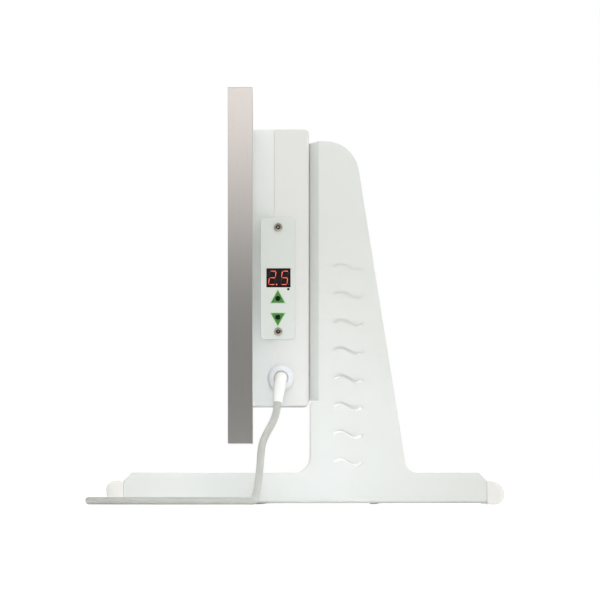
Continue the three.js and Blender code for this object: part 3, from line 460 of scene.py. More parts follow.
@dataclass(frozen=True)
class HeatingFoil(Finish):
    """Etched resistance foil between films: dull metal bands, slightly crinkled."""

    shade: Chip = (188, 180, 170)
    stops: Stops = ((0.42, (-68, -68, -66)), (0.5, SAME))
    clouds: Grain = Grain(roughness=0.4, squeeze=(1.0, 4.0, 260.0))
    haze: Grain = Grain(200, detail=4)
    roughness: Pair = (0.3, 0.5)
    bumps: Grain = Grain(260, detail=4)
    depth: float = 0.2 * MM
    strength: float = 0.5
    metal: float = 0.9


@dataclass(frozen=True)
class Brass(Finish):
    """Turned brass with dull spots."""

    shade: Chip = (214, 178, 98)
    stops: Stops = ((0.3, (-38, -38, -28)), (0.7, SAME))
    clouds: Grain = Grain(500, detail=4)
    roughness: Pair = (0.25, 0.42)
    depth: float = 0.02 * MM
    strength: float = 0.3
    metal: float = 1.0


CASE_COAT = PowderCoat("case_coat", shade=(231, 231, 228))
# Painted light: the tray has the case's powder coat, drawn lighter here to offset the shade in its recess
# beside the panel.
TRAY_PAINTED_LIGHT_COAT = PowderCoat("tray_painted_light_coat", shade=(247, 250, 249))
LEG_COAT = PowderCoat("leg_coat", shade=(230, 232, 228))
PLATE_COAT = PowderCoat("plate_coat", shade=(224, 228, 224), bumps=Grain(900))
UPRIGHT_STEEL = BrushedSteel("upright_steel", clouds=Brushing.UPRIGHT.value)
ACROSS_STEEL = BrushedSteel("across_steel", clouds=Brushing.ACROSS.value)
SCREW_STEEL = PlatedSteel("screw_steel", shade=(204, 196, 186), roughness=(0.2, 0.34))
# Painted shade: a dark brown steel for the walls and ledge of the screw sockets, where shade falls in the
# hollow.
SOCKET_PAINTED_SHADE = PlatedSteel("socket_painted_shade", shade=(62, 50, 42), roughness=(0.42, 0.56))
SHEET_ZINC = PlatedSteel("sheet_zinc", shade=(190, 192, 194), roughness=(0.34, 0.48))
TILE = StoneTile("tile")
WHITE_PLASTIC = MouldedPlastic("white_moulding", shade=(247, 246, 244))
CAP_PLASTIC = MouldedPlastic("cap_moulding", shade=(246, 244, 240), roughness=(0.42, 0.52))
NUT_PLASTIC = MouldedPlastic("nut_moulding", shade=(235, 237, 241), roughness=(0.42, 0.52))
DARK_PLASTIC = MouldedPlastic("dark_moulding", shade=(26, 26, 28), roughness=(0.5, 0.6))
BUTTON_PLASTIC = MouldedPlastic("button_moulding", shade=(12, 46, 20), roughness=(0.22, 0.32), shine=0.16)
EYE_PLASTIC = MouldedPlastic("eye_moulding", shade=(6, 6, 7), roughness=(0.5, 0.6), shine=0.12)
EARTH_GREEN = MouldedPlastic("earth_green", shade=(98, 140, 44))
SHEATH = CordSheath("sheath", shade=(192, 193, 186))
LENS = SmokedLens("lens_smoke")
SEGMENT = LitSegment("lit_segment")
DEEP_GREEN = PrintInk("deep_green_ink", shade=(66, 128, 54))
PALE_GREEN = PrintInk("pale_green_ink", shade=(176, 216, 164))
UNLIT_INK = PrintInk("unlit_segment", shade=(30, 26, 44))
LACQUER = CircuitLacquer("board_lacquer")
WOOL = WoolMat("wool")
FOIL = HeatingFoil("foil")
STUD_BRASS = Brass("stud_brass")


# Workmanship


def picked(items: Iterable[object], kind: type) -> list:
    """The items that are of one kind."""
    return [item for item in items if isinstance(item, kind)]


def edges_at(verts: Iterable[Vert]) -> list[Edge]:
    """The edges that meet at some points, each once."""
    return list({edge for vert in verts for edge in vert.link_edges})


def set_upright(shape: Shape, verts: Sequence[Vert], place: Point) -> None:
    """Turns what lies flat upright, so that its top looks along -Y, and sets it in its place.

    Args:
        shape: the shape that holds it.
        verts: its points, drawn in X and Y round the origin.
        place: where its middle goes.
    """
    bmesh.ops.rotate(shape, verts=verts, cent=CENTRE, matrix=Matrix.Rotation(QUARTER_TURN, 3, "X"))
    bmesh.ops.translate(shape, verts=verts, vec=place)


def thicken(shape: Shape, height: float) -> None:
    """Gives a flat shape its thickness, upwards.

    Args:
        shape: the flat shape.
        height: the thickness in metres.
    """
    top = bmesh.ops.extrude_face_region(shape, geom=shape.faces[:])["geom"]
    bmesh.ops.translate(shape, verts=picked(top, Vert), vec=(0, 0, height))


def pressed_shape(node: str) -> Shape:
    """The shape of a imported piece, welded and with its flat faces joined.

    Args:
        node: the piece's name in the frame.

    Returns:
        A new bmesh that the caller finishes.
    """
    shape = bmesh.new()
    shape.from_mesh(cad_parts[node].data)
    bmesh.ops.remove_doubles(shape, verts=shape.verts, dist=WELD)
    bmesh.ops.dissolve_limit(shape, angle_limit=FLAT_WITHIN, verts=shape.verts, edges=shape.edges)
    return shape


def ease_edges(shape: Shape, radius: float, segments: int, longer_than: float) -> None:
    """Rounds the sharp edges of a shape as a press, a mould or a coat of powder leaves them.

    Args:
        shape: the shape to ease.
        radius: size of the rounding in metres.
        segments: steps across the rounding.
        longer_than: least length of an edge that is eased, in metres.
    """
    sharp = [edge for edge in shape.edges if edge.is_manifold
             and edge.calc_length() > longer_than and edge.calc_face_angle(0.0) > SHARP_TURN]
    bmesh.ops.bevel(shape, geom=sharp, offset=radius, offset_type="OFFSET", segments=segments, profile=0.5,
                    affect="EDGES", clamp_overlap=True, loop_slide=True, material=-1)


def finished(shape: Shape, name: str, finish: Finish, slot: str, body: str = BODY,
             replaced: Iterable[str] = ()) -> bpy.types.Object:
    """Makes an object of a worked shape and enters it in the frame.

    Args:
        shape: the worked shape, freed here.
        name: the piece's name.
        finish: what it is coated or moulded in.
        slot: the record's material slot.
        body: the body that it rides on.
        replaced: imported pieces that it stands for.

    Returns:
        The finished object.
    """
    mesh = bpy.data.meshes.new(name)
    bmesh.ops.recalc_face_normals(shape, faces=shape.faces)
    shape.to_mesh(mesh)
    shape.free()
    mesh.shade_smooth()
    mesh.set_sharp_from_angle(angle=SMOOTH_TURN)
    piece = bpy.data.objects.new(name, mesh)
    bpy.context.scene.collection.objects.link(piece)
    weighted = piece.modifiers.new("even_faces", "WEIGHTED_NORMAL")
    weighted.keep_sharp = True
    mesh.materials.append(finish.material())
    return entered(piece, slot, body, replaced)


def entered(piece: bpy.types.Object, slot: str, body: str = BODY,
            replaced: Iterable[str] = ()) -> bpy.types.Object:
    """Enters a piece in the frame and reports it.

    Args:
        piece: the finished object.
        slot: the record's material slot.
        body: the body that it rides on.
        replaced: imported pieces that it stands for.

    Returns:
        The same object.
    """
    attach(piece, body)
    names = tuple(replaced)
    if names:
        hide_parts(*names)
    log.info("%s: %s on %s", piece.name, slot, body)
    return piece


def dressed(finish: Finish, *nodes: str) -> None:
    """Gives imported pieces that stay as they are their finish.

    Args:
        finish: the finish.
        nodes: the pieces' names in the frame.
    """
    for node in nodes:
        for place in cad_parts[node].material_slots:
            place.material = finish.material()
        log.info("%s: dressed in %s", node, finish.name)


def eased_copy(node: str, finish: Finish, slot: str, radius: float, segments: int = 2,
               body: str = BODY, longer_than: float = 0.0) -> bpy.types.Object:
    """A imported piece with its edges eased, in place of the plain one.

    Args:
        node: the piece's name in the frame.
        finish: its finish.
        slot: the record's material slot.
        radius: size of the rounding in metres.
        segments: steps across the rounding.
        body: the body that it rides on.
        longer_than: least length of an edge that is eased, in metres.

    Returns:
        The finished object.
    """
    shape = pressed_shape(node)
    ease_edges(shape, radius, segments, longer_than)
    return finished(shape, node + "_eased", finish, slot, body, (node,))


@dataclass(frozen=True)
class SocketScrew:
    """Button-head screw with a hexagon socket, turned about its own axis with its head towards -Y.

    The point is given in shares of the shank, the dome in shares of the head's radius and height, and the
    mouth, the brink's drop and the ledge of the socket in shares of the socket.
    """

    head: float = 8.4 * MM
    height: float = 2.4 * MM
    shank: float = 3.8 * MM
    length: float = 12.0 * MM
    socket: float = 4.0 * MM
    depth: float = 1.5 * MM
    sides: int = 36
    point: Pair = (0.8, 0.94)
    dome: tuple[Pair, ...] = ((0.97, 0.0), (1.0, 0.12), (0.97, 0.42), (0.86, 0.74), (0.7, 0.94))
    mouth: float = 1.28
    drop: float = 0.05
    ledge: float = 0.3

    def turned(self) -> Shape:
        """Spins the head and the shank, and sinks the socket.

        Returns:
            The screw's shape, its seat at the origin, all of the socket but its middle on material 1, a
            painted shade.
        """
        shape = bmesh.new()
        shaft = self.shank / 2
        outline = [(0.0, self.length), (shaft * self.point[0], self.length),
                   (shaft, self.length * self.point[1]), (shaft, 0.0)]
        outline += [(self.head / 2 * out, -self.height * up) for out, up in self.dome]
        outline.append((self.socket / 2 * self.mouth, -self.height))
        line = [shape.verts.new((x, y, 0.0)) for x, y in outline]
        edges = [shape.edges.new(pair) for pair in zip(line, line[1:])]
        bmesh.ops.spin(shape, geom=line + edges, cent=CENTRE, axis=(0, 1, 0), dvec=CENTRE, angle=FULL_TURN,
                       steps=self.sides, use_merge=True)
        bmesh.ops.remove_doubles(shape, verts=shape.verts, dist=WELD)
        rim = [edge for edge in shape.edges if edge.is_boundary]
        corner = self.socket / 2 / math.cos(math.pi / 6)
        hexagon = bmesh.ops.create_circle(shape, cap_ends=False, radius=corner, segments=6)["verts"]
        set_upright(shape, hexagon, (0, self.socket * self.drop - self.height, 0))
        brink = edges_at(hexagon)
        bmesh.ops.bridge_loops(shape, edges=rim + brink)
        wall = bmesh.ops.extrude_edge_only(shape, edges=brink)["geom"]
        bmesh.ops.translate(shape, verts=picked(wall, Vert), vec=(0, self.depth, 0))
        bottom = bmesh.ops.holes_fill(shape, edges=picked(wall, Edge), sides=6)["faces"]
        ledge = bmesh.ops.inset_region(shape, faces=bottom, thickness=self.socket * self.ledge)["faces"]
        # Painted shade: the socket's walls and ledge take the dark second material; its middle keeps the
        # head's steel.
        for face in picked(wall, Face) + ledge:
            face.material_index = 1
        return shape

    def fitted(self, node: str, away: Vector) -> bpy.types.Object:
        """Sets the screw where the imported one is.

        Args:
            node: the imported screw's name.
            away: direction in which its head looks.

        Returns:
            The finished screw.
        """
        low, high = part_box(node)
        shape = self.turned()
        turn = Vector((0, -1, 0)).rotation_difference(away).to_matrix()
        bmesh.ops.rotate(shape, verts=shape.verts, cent=CENTRE, matrix=turn)
        middle = (low + high) / 2
        reach = (high - low).dot(Vector([abs(value) for value in away])) / 2
        bmesh.ops.translate(shape, verts=shape.verts, vec=middle + away * (reach - self.height))
        screw = finished(shape, node + "_turned", SCREW_STEEL, "zinc_steel", replaced=(node,))
        # The second material is the painted shade inside the socket.
        screw.data.materials.append(SOCKET_PAINTED_SHADE.material())
        return screw


# The studio


def aimed(name: str, data: bpy.types.Camera | bpy.types.Light, place: Point, aim: Point) -> bpy.types.Object:
    """Puts a camera or a lamp in the scene and points it.

    Args:
        name: its name.
        data: the camera or the lamp.
        place: where it stands.
        aim: the point that it faces.

    Returns:
        The object.
    """
    stand = bpy.data.objects.new(name, data)
    facing = (Vector(aim) - Vector(place)).to_track_quat("-Z", "Y").to_matrix().to_4x4()
    stand.matrix_world = Matrix.Translation(Vector(place)) @ facing
    bpy.context.scene.collection.objects.link(stand)
    return stand


@dataclass(frozen=True)
class Lamp:
    """A soft square lamp that no metal mirrors: its power in watts, its side in metres, its linear colour
    and how wide it throws its light, in degrees."""

    name: str
    place: Point
    power: float
    size: float
    colour: Point = (1.0, 1.0, 1.0)
    aim: Point = (0.0, 0.0, 0.2)
    spread: float = 180.0

    def build(self) -> None:
        """Makes the lamp."""
        light = bpy.data.lights.new(self.name, "AREA")
        light.spread = math.radians(self.spread)
        light.size = self.size
        light.energy = self.power
        light.color = self.colour
        aimed(self.name, light, self.place, self.aim).visible_glossy = False


@dataclass(frozen=True)
class Backdrop:
    """A flat square that isn't part of the heater."""

    name: str
    half: float

    def laid(self, parts: int = 2) -> tuple[bpy.types.Object, NodeSheet]:
        """Lays the square on the ground.

        Args:
            parts: into how many parts each side of it is divided.

        Returns:
            The square and the node tree of its bare material.
        """
        shape = bmesh.new()
        bmesh.ops.create_grid(shape, x_segments=parts, y_segments=parts, size=self.half)
        self.placed(shape)
        mesh = bpy.data.meshes.new(self.name)
        shape.to_mesh(mesh)
        shape.free()
        square = bpy.data.objects.new(self.name, mesh)
        bpy.context.scene.collection.objects.link(square)
        material = bpy.data.materials.new(self.name)
        mesh.materials.append(material)
        return square, NodeSheet(material)

    def placed(self, shape: Shape) -> None:
        """Leaves the square flat on the ground; a card stands up."""


@dataclass(frozen=True)
class Floor(Backdrop):
    """A very large plain floor that keeps the heater's shadow, lifted to white where the lamps don't reach.

    The lift is the glow near the heater and far from it, and its reach the distances where it changes.
    """

    tone: Tone = (0.86, 0.86, 0.86, 1.0)
    lift: Pair = (0.38, 0.76)
    reach: Pair = (0.6, 2.6)

    def build(self) -> None:
        """Makes the floor."""
        _, sheet = self.laid(parts=4)
        away = sheet.node("VectorMath", sheet.node("TexCoord").outputs["Object"])
        away.operation = "LENGTH"
        lift = sheet.mapped(away.outputs["Value"], self.reach, self.lift, soft=True)
        seen = sheet.reckoned("MULTIPLY", sheet.looked_at(), lift)
        matt = sheet.node("BsdfDiffuse", Color=self.tone)
        glow = sheet.node("Emission", Strength=seen)
        sheet.shown(sheet.node("AddShader", matt.outputs[0], glow.outputs[0]))


@dataclass(frozen=True)
class Card(Backdrop):
    """A grey card round the heater that only mirrors show.

    It stands so far away, on the side that the turn gives in degrees from the control side, and leans over
    the heater by its tilt. It thins out between two heights. Its glow is 1 where it is white.
    """

    away: float
    turn: float
    glow: float
    thin: Pair
    tilt: float = 0.0
    tone: Tone = (0.93, 1.0, 1.0, 1.0)

    def placed(self, shape: Shape) -> None:
        """Stands the card up."""
        set_upright(shape, shape.verts, (0.0, -self.away, self.thin[1] - self.half))

    def build(self) -> None:
        """Makes the card."""
        card, sheet = self.laid()
        card.rotation_euler = (math.radians(-self.tilt), 0.0, math.radians(self.turn))
        card.visible_camera = card.visible_diffuse = card.visible_transmission = card.visible_shadow = False
        height = sheet.node("SeparateXYZ", sheet.node("TexCoord").outputs["Object"])
        cover = sheet.mapped(height.outputs["Z"], self.thin, (1.0, 0.0))
        clear = sheet.node("BsdfTransparent")
        grey = sheet.node("Emission", Color=self.tone, Strength=self.glow)
        sheet.shown(sheet.node("MixShader", cover, clear.outputs[0], grey.outputs[0]))


@dataclass
class Studio:
    """Floor, cards, light and camera."""

    scale: float = 0.985 * MM
    picture: int = 600
    sensor: float = 36.0
    clip: Pair = (0.5, 300.0)
    eye_x: float = -0.040
    eye_height: float = 0.030
    distance: float = 18.0
    reference_y: float = -0.27
    aim_x: float = -0.0052
    aim_z: float = 0.2015
    sky_light: float = 0.36
    floor: Floor = Floor("floor", half=60.0)
    cards: tuple[Card, ...] = (
        Card("control_card", half=1.5, away=0.55, turn=0.0, glow=0.28, thin=(0.20, 0.40)),
        Card("front_card", half=1.5, away=0.40, turn=-90.0, glow=0.45, thin=(0.10, 0.75)),
        Card("rear_card", half=1.5, away=0.50, turn=90.0, glow=0.45, thin=(0.10, 0.75)),
        Card("far_card", half=1.5, away=0.55, turn=180.0, glow=0.28, thin=(0.20, 0.40)),
        Card("top_card", half=1.5, away=1.20, turn=0.0, glow=0.50, thin=(1.40, 1.50), tilt=90.0))
    lamps: tuple[Lamp, ...] = (
        Lamp("key", (0.0, -3.0, 0.8), power=14.2, size=0.5, colour=(0.985, 1.0, 1.0)),
        Lamp("side", (0.9, -2.2, 1.5), power=8.5, size=0.5, colour=(1.0, 0.985, 0.96)),
        Lamp("top", (0.0, -0.9, 2.4), power=19.5, size=1.6),
        Lamp("low", (0.0, -2.4, 0.06), power=0.07, size=0.1, colour=(0.93, 1.0, 1.1),
             aim=(-0.05, -0.24, 0.0), spread=14.0),
        Lamp("front", (-2.6, 0.5, 1.0), power=24.0, size=0.8),
        Lamp("rear", (2.6, 0.5, 1.0), power=24.0, size=0.8),
        Lamp("far", (0.0, 2.9, 1.0), power=24.0, size=0.8))

    def camera(self) -> None:
        """A long lens at the photograph's angle, low over the floor."""
        lens = bpy.data.cameras.new("camera")
        lens.sensor_width = self.sensor
        lens.lens = self.sensor * self.distance / (self.picture * self.scale)
        lens.clip_start, lens.clip_end = self.clip
        eye = (self.eye_x, self.reference_y - self.distance, self.eye_height)
        aim = (self.aim_x, self.reference_y, self.aim_z)
        bpy.context.scene.camera = aimed("camera", lens, eye, aim)

    def sky(self) -> None:
        """Even light all round, seen as white by the camera, in reflections and through glass."""
        world = bpy.data.worlds.new("studio")
        bpy.context.scene.world = world
        sheet = NodeSheet(world)
        strength = sheet.mapped(sheet.looked_at(), (0.0, 1.0), (self.sky_light, 1.0))
        sheet.shown(sheet.node("Background", Color=WHITE, Strength=strength))

    def build(self) -> None:
        """Sets up the whole studio."""
        bpy.context.scene.view_settings.view_transform = "Standard"
        self.camera()
        self.sky()
        for item in (self.floor, *self.cards, *self.lamps):
            item.build()
        log.info("studio: camera, sky, floor, %d cards and %d lamps", len(self.cards), len(self.lamps))


# The heater


class Side(Enum):
    """The two sides of the heater, as the node names have them."""

    NEAR = "near"
    FAR = "far"


@dataclass
class MainsLead:
    """Cord from the gland to the coil behind the near foot, and on to the plug.

    The coil's angles are in degrees: where it starts and ends, where the cord on the floor closes up to it,
    where its track goes in to the next turn, where it climbs onto the lower turns, and where it goes out
    again. Both routes are in millimetres.
    """

    length: float = 1.95
    radius: float = 3.7 * MM
    ring_steps: int = 5
    line_steps: int = 4
    relief_root: float = 6.6 * MM
    relief_tip: float = 4.8 * MM
    relief_reach: float = 48.0 * MM
    plug_ease: float = 0.8 * MM
    pin_ease: float = 0.6 * MM
    coil_centre: Pair = (-0.118, -0.134)
    outer_track: float = 47.4 * MM
    pitch: float = 7.4 * MM
    lower: float = 3.8 * MM
    upper: float = 11.2 * MM
    approach: float = 8.0 * MM
    coil_ends: Pair = (-87.0, 1702.0)
    step: float = 12.0
    closing: Pair = (-99.0, -22.0)
    inward: tuple[Pair, ...] = ((174.0, 306.0), (534.0, 666.0))
    climb: Pair = (846.0, 950.0)
    outward: tuple[Pair, ...] = ((1134.0, 1266.0), (1494.0, 1626.0))
    route: tuple[Point, ...] = (
        (-23.9, -271, 124.7), (-24, -281, 124.3), (-24.4, -290.5, 121.3), (-25.2, -298.6, 115.6),
        (-26.3, -304.6, 107.7), (-27.6, -308, 98.4), (-29.2, -308.5, 88.5), (-32.9, -308.5, 79.3),
        (-37.7, -308.5, 70.5), (-41.8, -308.5, 61.4), (-43.5, -308.5, 51.5), (-44.3, -308.5, 41.5),
        (-45.2, -308.7, 31.6), (-46.4, -311.4, 22), (-47.8, -316.9, 13.8), (-49.3, -324.7, 7.7),
        (-50.7, -333.9, 4.4), (-52.2, -343.8, 3.8), (-56, -353, 3.8), (-62.4, -360.7, 3.8),
        (-70.8, -366.1, 3.8), (-80.5, -368.7, 3.8), (-90.5, -368.9, 3.8), (-100.5, -368.4, 3.8),
        (-110.4, -367.3, 3.8), (-133.1, -362.2, 3.8), (-154.7, -353.6, 3.8), (-174.7, -341.7, 3.8),
        (-191.8, -326.1, 3.8), (-204.4, -306.5, 3.8), (-211.5, -284.5, 3.8), (-213, -261.3, 3.8),
        (-213, -238, 3.8), (-208.6, -215.4, 3.8), (-194, -197.6, 3.8), (-172.5, -189.2, 3.8),
        (-149.3, -188.9, 3.8), (-126, -188.9, 3.8))
    plug_route: tuple[Point, ...] = (
        (-90.8, -181.2, 11.2), (-80, -180.2, 10.1), (-69, -177.6, 7.5), (-57, -173.4, 4.8),
        (-45, -168.2, 3.9), (-33, -162.8, 6), (-21, -157.7, 10.1), (-9, -153.5, 14.7), (2, -150.9, 18),
        (12.5, -150, 19.3), (21.6, -150, 19.3))

    @staticmethod
    def metres(points: Iterable[Point]) -> list[Vector]:
        """Points in metres that are given in millimetres."""
        return [Vector(point) * MM for point in points]

    @staticmethod
    def between(value: float, start: float, end: float) -> float:
        """Soft step from 0 at the start to 1 at the end."""
        share = min(max((value - start) / (end - start), 0.0), 1.0)
        return share * share * (3 - 2 * share)

    def coil(self) -> list[Vector]:
        """Three turns inwards on the floor and three back outwards on top of them.

        Returns:
            The points of the coil, in metres.
        """
        points = []
        angle, last = self.coil_ends
        while angle < last:
            inwards = sum(self.between(angle, *span) for span in self.inward)
            outwards = sum(self.between(angle, *span) for span in self.outward)
            apart = self.approach * (1 - self.between(angle, *self.closing))
            track = self.outer_track + apart - self.pitch * (inwards - outwards)
            height = self.lower + (self.upper - self.lower) * self.between(angle, *self.climb)
            turn = math.radians(angle)
            points.append(Vector((self.coil_centre[0] + track * math.cos(turn),
                                  self.coil_centre[1] + track * math.sin(turn), height)))
            angle += self.step
        return points

    def curve(self, name: str, points: Sequence[Vector], radii: Sequence[float],
              finish: Finish) -> bpy.types.Object:
        """A round rod along a smooth line.

        Args:
            name: the piece's name.
            points: the line's points.
            radii: the rod's radius at each point, in metres.
            finish: its finish.

        Returns:
            The curve object, not yet entered.
        """
        curve = bpy.data.curves.new(name, "CURVE")
        curve.dimensions = "3D"
        curve.bevel_depth = self.radius
        curve.bevel_resolution = self.ring_steps
        curve.resolution_u = curve.render_resolution_u = self.line_steps
        curve.use_fill_caps = True
        line = curve.splines.new("BEZIER")
        line.bezier_points.add(len(points) - 1)
        for knot, point, radius in zip(line.bezier_points, points, radii):
            knot.co = point
            knot.radius = radius / self.radius
            knot.handle_left_type = knot.handle_right_type = "AUTO"
        curve.materials.append(finish.material())
        rod = bpy.data.objects.new(name, curve)
        bpy.context.scene.collection.objects.link(rod)
        return rod

    def relief_points(self) -> list[Vector]:
        """The route's first points, over which the bend relief reaches.

        Returns:
            Points in metres, the last one where the relief ends.
        """
        points = self.metres(self.route)
        reach = [points[0]]
        run = 0.0
        for before, after in zip(points, points[1:]):
            length = (after - before).length
            if run + length >= self.relief_reach:
                reach.append(before.lerp(after, (self.relief_reach - run) / length))
                break
            run += length
            reach.append(after)
        return reach

    def build(self) -> None:
        points = self.metres(self.route) + self.coil() + self.metres(self.plug_route)
        cord = self.curve("mains_cord_run", points, [self.radius] * len(points), SHEATH)
        entered(cord, "cord_sheath", replaced=("mains_cord", "cord_coil", "plug_lead"))
        reach = self.relief_points()
        last = len(reach) - 1
        radii = [self.relief_root + (self.relief_tip - self.relief_root) * i / last for i in range(last + 1)]
        boot = self.curve("bend_relief_boot", reach, radii, WHITE_PLASTIC)
        entered(boot, "white_plastic", replaced=("bend_relief",))
        plug = eased_copy("plug_body", WHITE_PLASTIC, "white_plastic", self.plug_ease, segments=3)
        pins = [eased_copy("plug_pin_" + pole, SCREW_STEEL, "zinc_steel", self.pin_ease, segments=3)
                for pole in ("live", "neutral")]
        log.info("mains lead: %d points", len(points))


@dataclass
class HeatingPanel:
    """Brushed edge frame with the tile, the heating foil, the wool and the backing sheet."""

    rail_ease: float = 0.4 * MM
    long_edge: float = 0.2
    tile_ease: float = 1.2 * MM

    def build(self) -> None:
        """Makes the four rails and the tile, and dresses the layers behind it."""
        for rail, steel in (("rail_near", UPRIGHT_STEEL), ("rail_far", UPRIGHT_STEEL),
                            ("rail_top", ACROSS_STEEL), ("rail_bottom", ACROSS_STEEL)):
            eased_copy(rail, steel, "brushed_steel", self.rail_ease, longer_than=self.long_edge)
        eased_copy("front_tile", TILE, "stoneware", self.tile_ease, segments=3)
        dressed(FOIL, "heating_element")
        dressed(WOOL, "insulation_mat")
        dressed(CASE_COAT, "backing_sheet")


@dataclass
class HeaterCase:
    """The tray behind the panel and the cover that slides over it."""

    fold: float = 0.4 * MM

    def build(self) -> None:
        """Makes the tray and the cover with coated edges."""
        # The tray's coat is painted lighter than the cover's, to offset the shade that falls in its recess.
        eased_copy("front_tray", TRAY_PAINTED_LIGHT_COAT, "painted_steel", self.fold)
        eased_copy("rear_cover", CASE_COAT, "painted_steel", self.fold)


@dataclass
class ControlPanel:
    """The control plate with its screws, display, buttons and printed arrows.

    An arrow is its button, the height of its level side and that of its tip. A digit is its name, its side
    of the display's middle, its lit bars and its unlit ones: a at the top, then clockwise, g in the middle.
    """

    plate_ease: float = 0.5 * MM
    outline_edge: float = 0.9 * MM
    button_ease: float = 0.3 * MM
    lens_ease: float = 0.15 * MM
    plate_face: float = -257.3 * MM
    arrows: tuple[tuple[str, float, float], ...] = (
        ("up", 198.9 * MM, 211.5 * MM), ("down", 188.6 * MM, 176.2 * MM))
    ink: float = 0.05 * MM
    rim: float = 0.9 * MM
    half_base: float = 6.8 * MM
    corner_reach: float = 1.6
    tip_reach: float = 2.0
    button_hole: float = 2.8 * MM
    hole_sides: int = 24
    digits: tuple[tuple[str, int, str, str], ...] = (
        ("units", -1, "abged", "fc"), ("tenths", 1, "afgcd", "be"))
    digit_height: float = 13.2 * MM
    digit_width: float = 6.0 * MM
    digit_gap: float = 6.1 * MM
    slant: float = 0.11
    bar: float = 0.85 * MM
    bar_gap: float = 0.5525 * MM
    bar_lift: float = 0.03 * MM
    dot: float = 0.7 * MM
    dot_aside: float = 4.9 * MM

    def arrow(self, name: str, centre: Pair, base: float, apex: float, grow: float, lift: float,
              ink: Finish) -> None:
        """A printed triangle with a hole for its button.

        Args:
            name: the mark's name.
            centre: X and Z of the button.
            base: Z of the triangle's level side.
            apex: Z of its tip.
            grow: how much larger than the inner field it is, in metres.
            lift: how far it stands in front of the plate.
            ink: its ink.
        """
        shape = bmesh.new()
        up = math.copysign(1.0, apex - base)
        side = self.half_base + self.corner_reach * grow
        level = base - centre[1] - up * grow
        tip = apex - centre[1] + up * self.tip_reach * grow
        corners = ((-side, level, 0.0), (side, level, 0.0), (0.0, tip, 0.0))
        rim = [shape.verts.new(corner) for corner in corners]
        edges = [shape.edges.new(pair) for pair in zip(rim, rim[1:] + rim[:1])]
        bmesh.ops.subdivide_edges(shape, edges=edges, cuts=self.hole_sides // 3 - 1)
        outer = list(shape.edges)
        hole = bmesh.ops.create_circle(shape, cap_ends=False, radius=self.button_hole,
                                       segments=self.hole_sides)["verts"]
        bmesh.ops.bridge_loops(shape, edges=outer + edges_at(hole))
        thicken(shape, lift)
        set_upright(shape, shape.verts, (centre[0], self.plate_face, centre[1]))
        finished(shape, name, ink, "green_plastic")

    def segment(self, shape: Shape, start: Pair, end: Pair) -> None:
        """Adds one bar to a digit, a little narrower at one end.

        Args:
            shape: the digit.
            start: X and Z of the bar's start.
            end: X and Z of the bar's end.
        """
        line = Vector((end[0] - start[0], end[1] - start[1]))
        reach = line.length / 2 - self.bar_gap
        verts = bmesh.ops.create_circle(shape, cap_ends=True, radius=self.bar / 2, segments=6)["verts"]
        for vert in verts:
            vert.co.x = math.copysign(reach, vert.co.x)
        turn = Matrix.Rotation(math.atan2(line.y, line.x), 3, "Z")
        bmesh.ops.rotate(shape, verts=verts, cent=CENTRE, matrix=turn)
        middle = ((start[0] + end[0]) / 2, (start[1] + end[1]) / 2, 0.0)
        bmesh.ops.translate(shape, verts=verts, vec=middle)

    def digit(self, name: str, bars: str, place: Point, ink: Finish, dotted: bool) -> None:
        """The lit or the unlit bars of one digit.

        Args:
            name: the piece's name.
            bars: letters of the bars.
            place: the digit's middle on the lens.
            ink: what the bars look like.
            dotted: whether the decimal point to its right is with them.
        """
        wide, tall = self.digit_width / 2, self.digit_height / 2
        ends = {"a": ((-wide, tall), (wide, tall)), "b": ((wide, 0), (wide, tall)),
                "c": ((wide, -tall), (wide, 0)), "d": ((-wide, -tall), (wide, -tall)),
                "e": ((-wide, -tall), (-wide, 0)), "f": ((-wide, 0), (-wide, tall)),
                "g": ((-wide, 0), (wide, 0))}
        shape = bmesh.new()
        for bar in bars:
            self.segment(shape, *ends[bar])
        if dotted:
            dot = bmesh.ops.create_circle(shape, cap_ends=True, radius=self.dot, segments=12)["verts"]
            bmesh.ops.translate(shape, verts=dot, vec=(self.dot_aside, -tall, 0))
        lean = Matrix(((1.0, self.slant, 0.0), (0.0, 1.0, 0.0), (0.0, 0.0, 1.0))).to_4x4()
        bmesh.ops.transform(shape, matrix=lean, verts=shape.verts)
        thicken(shape, self.bar_lift)
        set_upright(shape, shape.verts, place)
        finished(shape, name, ink, "smoked_acrylic")

    def build(self) -> None:
        """Makes the plate and everything on it."""
        eased_copy("control_plate", PLATE_COAT, "painted_steel", self.plate_ease,
                   longer_than=self.outline_edge)
        for screw in ("plate_screw_upper", "plate_screw_lower"):
            SocketScrew().fitted(screw, Vector((0, -1, 0)))
        for button, _, _ in self.arrows:
            eased_copy("button_" + button, BUTTON_PLASTIC, "green_plastic", self.button_ease,
                       body=button + "_button")
        eased_copy("display_lens", LENS, "smoked_acrylic", self.lens_ease)
        low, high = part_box("display_lens")
        middle = (low + high) / 2
        aside = (self.digit_width + self.digit_gap) / 2
        for name, side, lit, unlit in self.digits:
            place = (middle.x + side * aside, low.y, middle.z)
            self.digit("digit_" + name, lit, place, SEGMENT, dotted=side < 0)
            self.digit(f"digit_{name}_unlit", unlit, place, UNLIT_INK, dotted=side > 0)
        for button, base, apex in self.arrows:
            low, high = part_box("button_" + button)
            centre = ((low.x + high.x) / 2, (low.z + high.z) / 2)
            self.arrow(f"arrow_{button}_rim", centre, base, apex, self.rim, self.ink, PALE_GREEN)
            self.arrow(f"arrow_{button}_field", centre, base, apex, 0.0, self.ink * 2, DEEP_GREEN)
        dressed(EYE_PLASTIC, "room_sensor")
        dressed(WHITE_PLASTIC, "control_housing")
        dressed(LACQUER, "control_board")
        dressed(DARK_PLASTIC, "display_module", "switch_up", "switch_down")


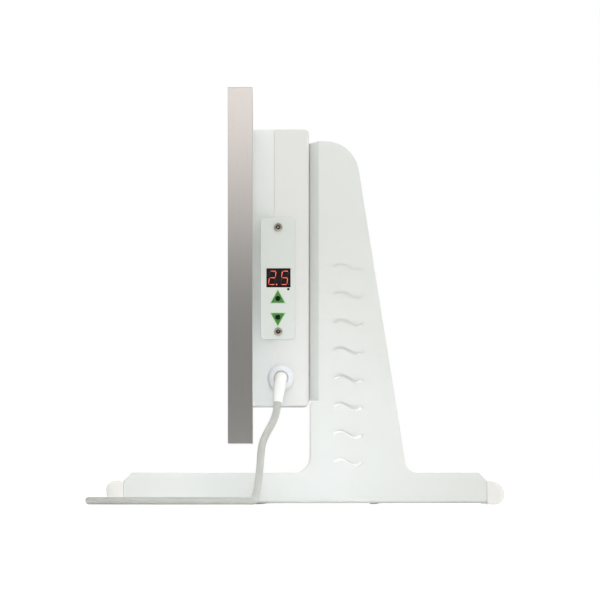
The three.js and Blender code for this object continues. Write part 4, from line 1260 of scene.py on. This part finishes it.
@dataclass
class PowerElectronics:
    """Boards, parts and leads inside the case."""

    def build(self) -> None:
        """Dresses each part in its own finish."""
        dressed(LACQUER, "power_board")
        dressed(DARK_PLASTIC, "relay", "transformer", "capacitor", "lead_grommet", "core_live",
                "core_neutral", "control_lead")
        dressed(WHITE_PLASTIC, "terminal_block", "heater_lead_live", "heater_lead_neutral")
        dressed(SHEET_ZINC, "thermal_cutout")
        dressed(STUD_BRASS, "earth_stud")
        dressed(EARTH_GREEN, "core_earth")
        dressed(SHEATH, "cord_tail")


@dataclass
class CableGland:
    """Gland in the case's side that holds the mains lead."""

    nut_ease: float = 0.5 * MM

    def build(self) -> None:
        """Makes the dome nut and dresses the body and the lock nut."""
        eased_copy("gland_dome_nut", NUT_PLASTIC, "white_plastic", self.nut_ease)
        dressed(WHITE_PLASTIC, "gland_body", "gland_locknut")


@dataclass
class StandLeg:
    """One bent leg with its two end caps and three screws."""

    side: Side
    sheet_ease: float = 0.4 * MM
    cap_ease: float = 2.4 * MM
    screw: SocketScrew = SocketScrew(head=9.5 * MM, height=2.7 * MM, shank=4.4 * MM, socket=3.6 * MM)

    def build(self) -> None:
        """Makes the leg, its caps and its screws."""
        eased_copy(f"leg_{self.side.value}", LEG_COAT, "painted_steel", self.sheet_ease)
        for end in ("front", "rear"):
            eased_copy(f"end_cap_{self.side.value}_{end}", CAP_PLASTIC, "cap_plastic", self.cap_ease,
                       segments=4)
        for place in ("lower", "middle", "upper"):
            self.screw.fitted(f"leg_screw_{self.side.value}_{place}", Vector((1, 0, 0)))


def main() -> None:
    logging.basicConfig(level=logging.INFO, format="%(message)s")
    for name in ("Cube", "Light", "Camera"):
        spare = bpy.data.objects.get(name)
        if spare is not None:
            bpy.data.objects.remove(spare)
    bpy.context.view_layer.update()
    for assembly in (Studio(), MainsLead(), HeatingPanel(), HeaterCase(), ControlPanel(),
                     PowerElectronics(), CableGland(), StandLeg(Side.NEAR), StandLeg(Side.FAR)):
        assembly.build()


if __name__ == "__main__":
    main()
